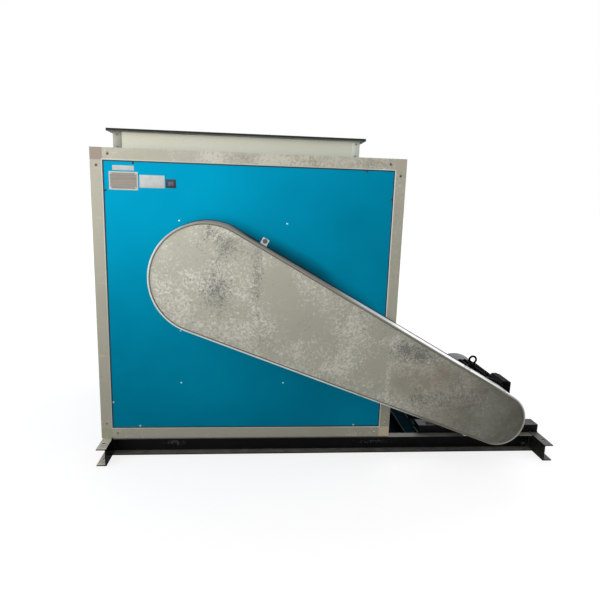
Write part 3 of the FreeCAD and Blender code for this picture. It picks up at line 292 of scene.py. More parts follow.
@dataclass(frozen=True)
class GalvanisedSheet(Finish):
    """Hot dip galvanised steel: pale curly flowers with dark specks, needle clusters, rubs, and soil that
    also carries painted shade.
    """

    body: str = "#BAB8A9"
    pale: str = "#E4E2D5"
    dark: str = "#6E7471"
    rub: str = "#E4E1D5"
    soil_and_shade: str = "#55554C"
    smear: str = "#86715F"
    flower: float = 21 * MM
    patch: float = 150 * MM
    flower_amount: float = 0.8
    needle_amount: float = 0.75
    rub_amount: float = 0.35
    blooms: Spots = ()
    stains: Spots = ()
    smears: Spots = ()
    soil_and_shade_spots: Spots = ()
    soil_and_shade_start: Vector = Vector((0, 0, 0))
    soil_and_shade_end: Vector = Vector((0, 0, 0))
    soil_and_shade_amount: float = 0.0
    soil_and_shade_hides_metal: bool = False
    soil_and_shade_rough: float = 0.85
    tones: Tones = ()
    smooth: float = 0.36
    rough: float = 0.56

    def lay(self, nodes: Nodes) -> Feeds:
        """Lay flowers, specks, needles, rubs, and soil with painted shade over one another.

        Args:
            nodes: The tree to lay them in.

        Returns:
            What feeds the shader.
        """
        place = nodes.place
        curl = nodes.add("TexNoise", {
            "Vector": place, "Scale": 1 / self.flower, "Detail": 3.5, "Roughness": 0.65, "Distortion": 2.0})
        frost = nodes.add("TexNoise", {
            "Vector": place, "Scale": 1 / self.patch, "Detail": 3.0, "Roughness": 0.6, "Distortion": 0.5})
        frosted = nodes.gather(frost, self.blooms)
        rich = nodes.add("Math", {0: frosted, 1: 0.7, 2: curl}, operation="MULTIPLY_ADD")
        flowered = nodes.add("MapRange", {
            "Value": rich, "From Min": 0.82, "From Max": 1.0, "To Max": self.flower_amount})
        zinc = nodes.add("Mix", {0: flowered, 6: self.body, 7: self.pale}, data_type="RGBA")
        # Specks are half as large as a flower, and sit within the flowers only.
        speck = nodes.add("TexNoise", {"Vector": place, "Scale": 2 / self.flower, "Detail": 2.0})
        specked = nodes.add("MapRange", {"Value": speck, "From Min": 0.54, "From Max": 0.70, "To Max": 0.75})
        within = nodes.add("Math", {0: specked, 1: flowered}, operation="MULTIPLY")
        dotted = nodes.add("Mix", {0: within, 6: zinc, 7: self.dark}, data_type="RGBA")
        cloud = nodes.add("TexNoise", {
            "Vector": place, "W": 9.0, "Scale": 1 / (1.2 * self.patch), "Detail": 4.0, "Roughness": 0.65,
            "Distortion": 0.4}, noise_dimensions="4D")
        spike = nodes.add("TexNoise", {
            "Vector": place, "W": 4.0, "Scale": 1 / (1.2 * self.flower), "Detail": 4.0, "Roughness": 0.7,
            "Distortion": 3.0}, noise_dimensions="4D")
        stained = nodes.gather(cloud, self.stains)
        keen = nodes.add("Math", {0: spike, 1: 2.5, 2: stained}, operation="MULTIPLY_ADD")
        needled = nodes.cover(dotted, self.dark, keen, 1.96, 2.34, self.needle_amount)
        # Rubs run lengthwise, a little on the slope.
        stretch = nodes.add("Mapping", {
            "Vector": place, "Rotation": (0.0, 0.15, 0.0), "Scale": (0.3, 1.0, 1.0)})
        wipe = nodes.add("TexNoise", {
            "Vector": stretch, "Scale": 1 / (0.22 * self.patch), "Detail": 6.0, "Roughness": 0.75,
            "Distortion": 1.2})
        colour = nodes.cover(needled, self.rub, wipe, 0.58, 0.72, self.rub_amount)
        matt = nodes.add("MapRange", {
            "Value": curl, "From Min": 0.3, "From Max": 0.7, "To Min": self.smooth, "To Max": self.rough})
        feeds = {"Normal": nodes.add("Bump", {"Height": curl, "Strength": 0.12, "Distance": 0.4 * MM})}
        # Soil and painted shade: a darker tint laid along a direction, heavier round some spots.
        if self.soil_and_shade_amount:
            soiled_and_shaded = self.soil_and_shade_share(nodes, cloud)
            tint = nodes.cover(self.soil_and_shade, self.smear, nodes.gather(wipe, self.smears), 0.46, 0.66)
            colour = nodes.add("Mix", {0: soiled_and_shaded, 6: colour, 7: tint}, data_type="RGBA")
            if self.soil_and_shade_hides_metal:
                feeds["Metallic"] = nodes.add("MapRange", {
                    "Value": soiled_and_shaded, "From Max": self.soil_and_shade_amount, "To Min": self.metallic, "To Max": 0.0})
                matt = nodes.add("Mix", {0: soiled_and_shaded, 2: matt, 3: self.soil_and_shade_rough})
        return feeds | {"Base Color": nodes.bring_in(colour, self.tones), "Roughness": matt}

    def soil_and_shade_share(self, nodes: Nodes, cloud: Socket) -> Socket:
        """Work out how much soil and painted shade lies where.

        Args:
            nodes: The tree to work in.
            cloud: The noise that makes it uneven.

        Returns:
            The share that soil and painted shade hide.
        """
        run = self.soil_and_shade_end - self.soil_and_shade_start
        along = nodes.add("VectorMath", {0: nodes.place, 1: self.soil_and_shade_start}, operation="SUBTRACT")
        share = nodes.add("VectorMath", {0: along, 1: run / run.length_squared}, operation="DOT_PRODUCT")
        uneven = nodes.add("Math", {0: share, 1: cloud}, operation="ADD")
        return nodes.add("MapRange", {
            "Value": nodes.gather(uneven, self.soil_and_shade_spots), "From Min": 0.45, "From Max": 1.45,
            "To Max": self.soil_and_shade_amount})


@dataclass(frozen=True)
class EnamelledSheet(Finish):
    """Lacquered steel sheet: one even colour, faint orange peel, slow waves, clouds, fine rubs and painted
    shade.
    """

    colour: str = "#0098BE"
    deep: str = "#008EB3"
    rub: str = "#10A0C2"
    shade_and_grime: str = "#063B48"
    gloss: float = 0.34
    wave: float = 330 * MM
    wave_depth: float = 6 * MM
    # Real orange peel is finer than this, and wouldn't show.
    peel: float = 5 * MM
    peel_depth: float = 0.2 * MM
    cloud: float = 420 * MM
    rub_size: float = 26 * MM
    painted_shade_spots: Spots = ()

    def lay(self, nodes: Nodes) -> Feeds:
        """Lay clouds, rubs, painted shade and orange peel.

        Args:
            nodes: The tree to lay them in.

        Returns:
            What feeds the shader.
        """
        place = nodes.place
        drift = nodes.add("TexNoise", {"Vector": place, "Scale": 1 / self.cloud, "Detail": 3.0})
        tint = nodes.cover(self.deep, self.colour, drift, 0.35, 0.65)
        fine = nodes.add("Mapping", {"Vector": place, "Rotation": (0.2, 0.6, 0.1), "Scale": (0.2, 1.0, 1.0)})
        wipe = nodes.add("TexNoise", {
            "Vector": fine, "Scale": 1 / self.rub_size, "Detail": 6.0, "Roughness": 0.8})
        worn = nodes.cover(tint, self.rub, wipe, 0.66, 0.80, 0.30)
        # Painted shade: a dark teal laid where the spots gather.
        grey = nodes.cover(worn, self.shade_and_grime, nodes.gather(drift, self.painted_shade_spots), 0.7, 1.4, 0.9)
        matt = nodes.add("MapRange", {
            "Value": drift, "To Min": self.gloss - 0.06, "To Max": self.gloss + 0.10})
        orange = nodes.add("TexNoise", {"Vector": place, "Scale": 1 / self.peel, "Detail": 1.0})
        sway = nodes.add("TexNoise", {"Vector": place, "Scale": 1 / self.wave, "Detail": 1.0})
        waves = nodes.add("Bump", {"Height": sway, "Strength": 0.35, "Distance": self.wave_depth})
        relief = nodes.add("Bump", {
            "Height": orange, "Normal": waves, "Strength": 0.06, "Distance": self.peel_depth})
        return {"Base Color": grey, "Roughness": matt, "Normal": relief}


@dataclass(frozen=True)
class BlackPaint(Finish):
    """Brushed black enamel on steel or iron: deep gloss on the sides, grey where it faces up as dust and
    painted sheen, chips.
    """

    colour: str = "#0B0C0E"
    worn: str = "#1D1E20"
    dust_and_sheen: str = "#6B6A66"
    chip: str = "#57504A"
    gloss: float = 0.26
    dust_and_sheen_rough: float = 0.8
    dust_and_sheen_amount: float = 0.6
    streak: float = 60 * MM
    flake: float = 14 * MM
    pit: float = 7 * MM
    pit_depth: float = 0.5 * MM
    scuffs: Spots = ()

    def lay(self, nodes: Nodes) -> Feeds:
        """Lay worn streaks, chips, settled dust with painted sheen, and the skin of the metal below.

        Args:
            nodes: The tree to lay them in.

        Returns:
            What feeds the shader.
        """
        place = nodes.place
        streak = nodes.add("TexNoise", {
            "Vector": place, "Scale": 1 / self.streak, "Detail": 6.0, "Roughness": 0.7, "Distortion": 0.8})
        coat = nodes.cover(self.colour, self.worn, streak, 0.45, 0.75)
        flake = nodes.add("TexNoise", {
            "Vector": place, "Scale": 1 / self.flake, "Detail": 5.0, "Roughness": 0.8})
        bare = nodes.cover(coat, self.chip, nodes.gather(flake, self.scuffs), 0.70, 0.74, 0.8)
        # Dust and painted sheen: faces that point up turn grey.
        lift = nodes.add("SeparateXYZ", {0: nodes.add("NewGeometry", output="Normal")}, "Z")
        level = nodes.add("MapRange", {
            "Value": lift, "From Min": 0.35, "From Max": 0.95, "To Max": self.dust_and_sheen_amount})
        patchy = nodes.add("MapRange", {"Value": streak, "From Min": 0.25, "From Max": 0.62, "To Min": 0.45})
        dust_and_sheen_share = nodes.add("Math", {0: level, 1: patchy}, operation="MULTIPLY")
        top = nodes.add("Mix", {0: dust_and_sheen_share, 6: bare, 7: self.dust_and_sheen}, data_type="RGBA")
        matt = nodes.add("MapRange", {"Value": dust_and_sheen_share, "To Min": self.gloss, "To Max": self.dust_and_sheen_rough})
        skin = nodes.add("TexNoise", {"Vector": place, "Scale": 1 / self.pit, "Detail": 2.0})
        relief = nodes.add("Bump", {"Height": skin, "Strength": 0.15, "Distance": self.pit_depth})
        return {"Base Color": top, "Roughness": matt, "Normal": relief}


@dataclass(frozen=True)
class CastMetal(Finish):
    """Sand or die cast metal: a fine grainy skin, soft colour drift and darker pores."""

    colour: str = "#B3A594"
    drift: str = "#9C9284"
    pore: str = "#6E675C"
    tones: Tones = ()
    rough: float = 0.55
    cloud: float = 45 * MM
    grit: float = 3 * MM
    grit_depth: float = 0.3 * MM

    def lay(self, nodes: Nodes) -> Feeds:
        """Lay drift, further tones, pores and the cast skin.

        Args:
            nodes: The tree to lay them in.

        Returns:
            What feeds the shader.
        """
        slow = nodes.add("TexNoise", {"Vector": nodes.place, "Scale": 1 / self.cloud, "Detail": 4.0})
        toned = nodes.bring_in(nodes.cover(self.drift, self.colour, slow, 0.35, 0.65), self.tones)
        quick = nodes.add("TexNoise", {"Vector": nodes.place, "Scale": 1 / self.grit, "Detail": 3.0})
        cast = nodes.cover(toned, self.pore, quick, 0.62, 0.75, 0.5)
        matt = nodes.add("MapRange", {"Value": quick, "To Min": self.rough - 0.1, "To Max": self.rough + 0.1})
        relief = nodes.add("Bump", {"Height": quick, "Strength": 0.3, "Distance": self.grit_depth})
        return {"Base Color": cast, "Roughness": matt, "Normal": relief}


@dataclass(frozen=True)
class LinedMetal(Finish):
    """Brushed, ground or laminated metal: fine lines that run one way, with soft tone between them."""

    colour: str = "#A9A7A0"
    line: str = "#8A8881"
    stretch: tuple[float, float, float] = (0.02, 1.0, 1.0)
    # Real lines are far finer than this, and wouldn't show.
    pitch: float = 2 * MM
    line_depth: float = 0.1 * MM
    cloud: float = 40 * MM
    rough: float = 0.36

    def lay(self, nodes: Nodes) -> Feeds:
        """Lay lines along the axis that the stretch draws out.

        Args:
            nodes: The tree to lay them in.

        Returns:
            What feeds the shader.
        """
        drawn = nodes.add("Mapping", {"Vector": nodes.place, "Scale": self.stretch})
        lines = nodes.add("TexNoise", {"Vector": drawn, "Scale": 1 / self.pitch, "Detail": 3.0})
        band = nodes.add("MapRange", {"Value": lines, "From Min": 0.35, "From Max": 0.65})
        slow = nodes.add("TexNoise", {"Vector": nodes.place, "Scale": 1 / self.cloud, "Detail": 3.0})
        both = nodes.add("Mix", {0: 0.4, 2: band, 3: slow})
        tint = nodes.add("Mix", {0: both, 6: self.line, 7: self.colour}, data_type="RGBA")
        matt = nodes.add("MapRange", {
            "Value": both, "To Min": self.rough - 0.08, "To Max": self.rough + 0.12})
        relief = nodes.add("Bump", {"Height": lines, "Strength": 0.1, "Distance": self.line_depth})
        return {"Base Color": tint, "Roughness": matt, "Normal": relief}


@dataclass(frozen=True)
class Moulded(Finish):
    """Moulded rubber, nylon or vinyl film: a matt skin with a fine grain and a light bloom."""

    colour: str = "#141414"
    bloom: str = "#2A2A29"
    rough: float = 0.6
    cloud: float = 30 * MM
    grain: float = 2 * MM
    grain_depth: float = 0.1 * MM

    def lay(self, nodes: Nodes) -> Feeds:
        """Lay bloom and grain.

        Args:
            nodes: The tree to lay them in.

        Returns:
            What feeds the shader.
        """
        slow = nodes.add("TexNoise", {
            "Vector": nodes.place, "Scale": 1 / self.cloud, "Detail": 4.0, "Roughness": 0.6})
        tint = nodes.cover(self.colour, self.bloom, slow, 0.4, 0.7)
        matt = nodes.add("MapRange", {"Value": slow, "To Min": self.rough - 0.1, "To Max": self.rough + 0.1})
        skin = nodes.add("TexNoise", {"Vector": nodes.place, "Scale": 1 / self.grain, "Detail": 2.0})
        relief = nodes.add("Bump", {"Height": skin, "Strength": 0.1, "Distance": self.grain_depth})
        return {"Base Color": tint, "Roughness": matt, "Normal": relief}


def aim(place: Vector, axis: Vector) -> Matrix:
    """Work out the transform that stands a piece's own Z on an axis.

    Args:
        place: Where the piece's own origin goes.
        axis: Where its own Z points.

    Returns:
        A 4 by 4 transform.
    """
    return Matrix.Translation(place) @ axis.to_track_quat("Z", "Y").to_matrix().to_4x4()


def solids_of(node: str) -> list[tuple[Vector, Vector]]:
    """Find the separate solids of a CAD node, such as the screws of a group.

    Args:
        node: The node's name.

    Returns:
        The lowest and highest corner of each solid.
    """
    mesh = bmesh.new()
    mesh.from_mesh(frame["nodes"][node].data)
    bmesh.ops.remove_doubles(mesh, verts=mesh.verts, dist=MERGE / 2)
    waiting = dict.fromkeys(mesh.verts)
    boxes = []
    while waiting:
        group = [next(iter(waiting))]
        waiting.pop(group[0])
        for vertex in group:
            for edge in vertex.link_edges:
                other = edge.other_vert(vertex)
                if other in waiting:
                    waiting.pop(other)
                    group.append(other)
        low = Vector([min(vertex.co[axis] for vertex in group) for axis in range(3)])
        high = Vector([max(vertex.co[axis] for vertex in group) for axis in range(3)])
        boxes.append((low, high))
    mesh.free()
    return boxes


def dress(finish: Finish, *nodes: str) -> None:
    """Give CAD nodes one finish.

    Args:
        finish: The finish that they share.
        nodes: The nodes' names.
    """
    material = finish.material()
    for node in nodes:
        data = frame["nodes"][node].data
        data.materials.clear()
        data.materials.append(material)
        logger.info("%s dressed in %s", node, finish.name)


class Piece:
    """One new mesh, modelled where it sits, that becomes a named object."""

    def __init__(self, name: str) -> None:
        """Start an empty mesh for a piece of this name."""
        self.name = name
        self.mesh = bmesh.new()

    def block(self, low: Vector, high: Vector, edge: float) -> None:
        """Add a box with rounded edges.

        Args:
            low: Its lowest corner.
            high: Its highest corner.
            edge: The radius of its edges.
        """
        place = Matrix.Translation((low + high) / 2) @ Matrix.Diagonal((*(high - low), 1.0))
        made = bmesh.ops.create_cube(self.mesh, size=1.0, matrix=place)
        edges = dict.fromkeys(edge for vertex in made["verts"] for edge in vertex.link_edges)
        bmesh.ops.bevel(
            self.mesh, geom=list(edges), offset=edge, segments=2, profile=0.5, affect="EDGES", material=-1)

    def border(self, low: Vector, high: Vector, width: float, edge: float) -> None:
        """Add four bars inside the edge of an upright box.

        Args:
            low: The box's lowest corner.
            high: The box's highest corner.
            width: The bars' width.
            edge: The radius of their edges.
        """
        for left, bottom, right, top in (
                (low.x, high.z - width, high.x, high.z), (low.x, low.z, high.x, low.z + width),
                (low.x, low.z + width, low.x + width, high.z - width),
                (high.x - width, low.z + width, high.x, high.z - width)):
            self.block(Vector((left, low.y, bottom)), Vector((right, high.y, top)), edge)

    def turned(self, place: Vector, axis: Vector, shape: Turning, radius: float, height: float) -> None:
        """Add a turned fitting.

        Args:
            place: Its foot.
            axis: The axis that it stands on.
            shape: Its outline.
            radius: Its largest radius.
            height: Its height.
        """
        stand = aim(place, axis)
        steps, outline = shape.value
        points = [
            self.mesh.verts.new(stand @ Vector((out * radius, 0, rise * height))) for out, rise in outline]
        lines = [self.mesh.edges.new(pair) for pair in zip(points, points[1:])]
        bmesh.ops.spin(
            self.mesh, geom=points + lines, cent=place, axis=axis, angle=FULL_TURN, steps=steps,
            use_merge=True)

    def take(self, node: str, axis: Vector) -> None:
        """Copy the outermost faces of a CAD node, to build a layer on them.

        Args:
            node: The node's name.
            axis: Where the faces point.
        """
        self.mesh.from_mesh(frame["nodes"][node].data)
        bmesh.ops.remove_doubles(self.mesh, verts=self.mesh.verts, dist=MERGE)
        reach = max(vertex.co.dot(axis) for vertex in self.mesh.verts)
        spare = [face for face in self.mesh.faces
                 if min(vertex.co.dot(axis) for vertex in face.verts) < reach - 0.1 * MM]
        bmesh.ops.delete(self.mesh, geom=spare, context="FACES")

    def keep_band(self, inset: float, width: float) -> None:
        """Keep a band that runs round inside the edge of the faces taken.

        Args:
            inset: How far inside the edge it starts.
            width: How wide it is.
        """
        bmesh.ops.dissolve_faces(self.mesh, faces=self.mesh.faces, use_verts=False)
        for thickness in (inset, width):
            inner = max(self.mesh.faces, key=lambda face: face.calc_area())
            band = bmesh.ops.inset_region(
                self.mesh, faces=[inner], thickness=thickness, use_boundary=True,
                use_even_offset=True)["faces"]
        kept = set(band)
        spare = [face for face in self.mesh.faces if face not in kept]
        bmesh.ops.delete(self.mesh, geom=spare, context="FACES")

    def thicken(self, axis: Vector, height: float, edge: float = 0.0) -> None:
        """Raise the faces taken into a closed layer, with rounded edges where asked.

        Args:
            axis: Where the layer grows.
            height: Its height before the edges are rounded.
            edge: The width of its rounded edges.
        """
        taken = list(self.mesh.faces)
        grown = bmesh.ops.extrude_face_region(self.mesh, geom=taken, use_keep_orig=True)["geom"]
        points = [item for item in grown if isinstance(item, bmesh.types.BMVert)]
        bmesh.ops.translate(self.mesh, vec=axis * height, verts=points)
        top = [item for item in grown if isinstance(item, bmesh.types.BMFace)]
        for share in (0.6, 0.25) if edge else ():
            bmesh.ops.inset_region(
                self.mesh, faces=top, thickness=edge, depth=edge * share, use_even_offset=True)

    def swell(self, axis: Vector, proud: float) -> None:
        """Push the layer's side walls out.

        Args:
            axis: Where the layer grew.
            proud: How far the walls go.
        """
        bmesh.ops.recalc_face_normals(self.mesh, faces=self.mesh.faces)
        walls = [face for face in self.mesh.faces if abs(face.normal.dot(axis)) < 0.5]
        bmesh.ops.inset_region(self.mesh, faces=walls, thickness=0.0, depth=proud, use_even_offset=True)

    def hexagon(self, place: Vector, axis: Vector, across: float, height: float) -> None:
        """Add a hexagon bolt head with a chamfered top.

        Args:
            place: The centre of its seat.
            axis: Where the head points.
            across: Its width across the flats.
            height: Its height.
        """
        corner = across / math.sqrt(3)
        stand = aim(place, axis) @ Matrix.Translation((0, 0, height / 2))
        made = bmesh.ops.create_cone(
            self.mesh, cap_ends=True, segments=6, radius1=corner, radius2=corner, depth=height, matrix=stand)
        crown = [vertex for vertex in made["verts"] if (vertex.co - place).dot(axis) > height / 2]
        rim = dict.fromkeys(
            edge for vertex in crown for edge in vertex.link_edges if edge.other_vert(vertex) in crown)
        bmesh.ops.bevel(
            self.mesh, geom=list(rim), offset=0.12 * across, segments=2, profile=0.5, affect="EDGES",
            material=-1)

    def as_object(self, finish: Finish) -> bpy.types.Object:
        """Close the mesh and make it a named object that rides on nothing yet.

        Args:
            finish: How it looks.

        Returns:
            The object, at the origin.
        """
        bmesh.ops.remove_doubles(self.mesh, verts=self.mesh.verts, dist=MERGE)
        bmesh.ops.recalc_face_normals(self.mesh, faces=self.mesh.faces)
        data = bpy.data.meshes.new(self.name)
        self.mesh.to_mesh(data)
        self.mesh.free()
        data.shade_smooth()
        data.set_sharp_from_angle(angle=SHARP_ANGLE)
        data.materials.append(finish.material())
        made = bpy.data.objects.new(self.name, data)
        bpy.context.scene.collection.objects.link(made)
        logger.info("%s has %d faces", self.name, len(data.polygons))
        return made

    def finish(self, slot: Slot, finish: Finish, body: Body = Body.BASE) -> None:
        """Make the mesh a named object that rides on a body.

        Args:
            slot: The record's slot for its finish; not used.
            finish: How it looks.
            body: The body that it moves with.
        """
        made = self.as_object(finish)
        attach(made, body.value)


# Zinc plated bolts: an even cool grey with a faint fine grain.
ZINC_BOLT = GalvanisedSheet(
    "zinc_plated_steel", metallic=0.85, body="#A9A8A2", pale="#C4C2BA", dark="#8F8E88", flower=4 * MM,
    patch=30 * MM, rub_amount=0.2)
# Plain steel, dulled by oxide: a warm grey that hardly shines.
DULL_BOLT = CastMetal("dull_dark_steel", metallic=0.2, colour="#948E82", drift="#7D776D", pore="#57534C")
# Fresh galvanised strip: nearly white, with small faint flowers.
BRIGHT_ZINC = GalvanisedSheet(
    "bright_zinc_strip", metallic=0.25, body="#EEF1F1", pale="#F6F8F8", dark="#CDD2D2", flower=10 * MM,
    patch=60 * MM, rub_amount=0.3)
# Enamel brushed on rolled channel: deep black sides, and grey on top, partly dust and partly painted sheen.
BLACK_STEEL = BlackPaint(
    "black_enamel_on_channel", colour="#060708", worn="#101113", dust_and_sheen="#666661", dust_and_sheen_amount=0.7,
    specular=0.3)


@dataclass
class Base:
    """The welded channel base, with its weld beads."""

    front_rail: str = "base_rail_front"
    rear_rail: str = "base_rail_rear"
    left_channel: str = "base_cross_left"
    middle_channel: str = "base_cross_mid"
    right_channel: str = "base_cross_right"
    motor_rails: tuple[str, ...] = ("motor_rail_front", "motor_rail_rear")
    front_scuffs: Marks = ((-735, 46, 95, 28, 0.32), (215, 40, 160, 24, 0.23), (1000, 20, 50, 24, 0.3))
    right_scuffs: Marks = ((1040, 40, 60, 40, 0.12),)
    wall: float = 5 * MM
    highlight_widths: tuple[float, float] = (2.5 * MM, 5 * MM)
    highlight_height: float = 0.4 * MM
    highlight_round: float = 0.1 * MM
    bead_radius: float = 3.5 * MM
    bead_pitch: float = 4.5 * MM
    bead_ripple: float = 1.22
    bead_sides: int = 8

    def build(self) -> None:
        """Dress the channels and weld them."""
        dress(BLACK_STEEL, self.rear_rail)
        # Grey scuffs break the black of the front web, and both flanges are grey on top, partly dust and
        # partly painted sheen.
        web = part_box(self.front_rail)[1].y - self.wall
        dress(replace(
            BLACK_STEEL, name="scuffed_black_enamel", dust_and_sheen="#86837B", chip="#4C4C49",
            scuffs=flat_spots(web, self.front_scuffs)), self.front_rail)
        # The right channel is painted a dark grey rather than black as painted light, and grey on top, partly
        # dust and partly painted sheen.
        dress(replace(
            BLACK_STEEL, name="grey_enamel_painted_light", colour="#20201E", worn="#3A3936",
            scuffs=flat_spots(web, self.right_scuffs)), self.right_channel)
        # The left channel's upper faces are painted pale: a painted highlight where the light falls on them.
        dress(replace(
            BLACK_STEEL, name="black_enamel_painted_highlight", dust_and_sheen="#CFC9B9", dust_and_sheen_amount=0.97), self.left_channel)
        # A deep black with a blue cast, a painted reflection of the blue panels; the pan is a dark sheet that
        # stands for the shade in the gap between the rails.
        dress(BlackPaint(
            "black_enamel_painted_blue_reflection", colour="#041217", worn="#081C23", dust_and_sheen="#16292F", chip="#14272D", gloss=0.45,
            dust_and_sheen_amount=0.3, specular=0.0), self.middle_channel, "base_pan")
        # The motor's rails are a plain soft black, with little dust.
        dress(BlackPaint(
            "black_enamel_on_rail", colour="#070707", worn="#121212", dust_and_sheen="#3C3B37", dust_and_sheen_amount=0.7,
            specular=0.3), *self.motor_rails)
        self.weld()
        self.paint_edge_highlights()

    def paint_edge_highlights(self) -> None:
        """Lay a painted highlight along each top edge of the middle cross channel."""
        low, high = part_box(self.middle_channel)
        thin, thick = self.highlight_widths
        piece = Piece("painted_edge_highlights")
        for x, width in ((low.x, thin), (high.x - thick, thick)):
            piece.block(Vector((x, low.y, high.z)), Vector((x + width, high.y, high.z + self.highlight_height)),
                        self.highlight_round)
        # A slate grey line on the black: a painted highlight on the edge.
        piece.finish(Slot.BASE_PAINT, BlackPaint(
            "painted_edge_highlight", specular=0.05, colour="#1A262B", worn="#26343A", dust_and_sheen="#33424A", chip="#182226",
            dust_and_sheen_amount=0.3))

    def weld(self) -> None:
        """Run beads where the rails meet the cross channels and where the motor's rails stand on them."""
        piece = Piece("weld_beads")
        for rail in (self.front_rail, self.rear_rail):
            low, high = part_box(rail)
            web = high.y - self.wall if rail == self.front_rail else low.y + self.wall
            foot = low.z + self.wall
            for end in (low.x, high.x):
                self.bead(piece, Vector((end, web, foot)), Vector((end, web, high.z - self.wall)))
                self.bead(piece, Vector((end, low.y, high.z)), Vector((end, high.y, high.z)))
                self.bead(piece, Vector((end, low.y, foot)), Vector((end, web, foot)))
        for rail in self.motor_rails:
            low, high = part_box(rail)
            for end in (low.x, high.x):
                self.bead(piece, Vector((end, low.y, low.z)), Vector((end, high.y, low.z)))
        piece.finish(Slot.BASE_PAINT, BLACK_STEEL)

    def bead(self, piece: Piece, start: Vector, end: Vector) -> None:
        """Run one rippled weld bead.

        Args:
            piece: The piece that it belongs to.
            start: Where the bead starts.
            end: Where it ends.
        """
        run = end - start
        steps = round(run.length / self.bead_pitch)
        made = bmesh.ops.create_circle(
            piece.mesh, cap_ends=True, segments=self.bead_sides, radius=self.bead_radius,
            matrix=aim(start, run.normalized()))
        face = made["verts"][0].link_faces[0]
        for step in range(steps):
            grown = bmesh.ops.extrude_face_region(piece.mesh, geom=[face])["geom"]
            face = next(item for item in grown if isinstance(item, bmesh.types.BMFace))
            centre = start + run * (step + 1) / steps
            swell = self.bead_ripple if step % 2 == 0 else 1 / self.bead_ripple
            bmesh.ops.translate(piece.mesh, verts=face.verts, vec=run / steps)
            bmesh.ops.scale(piece.mesh, verts=face.verts, vec=(swell,) * 3, space=Matrix.Translation(-centre))


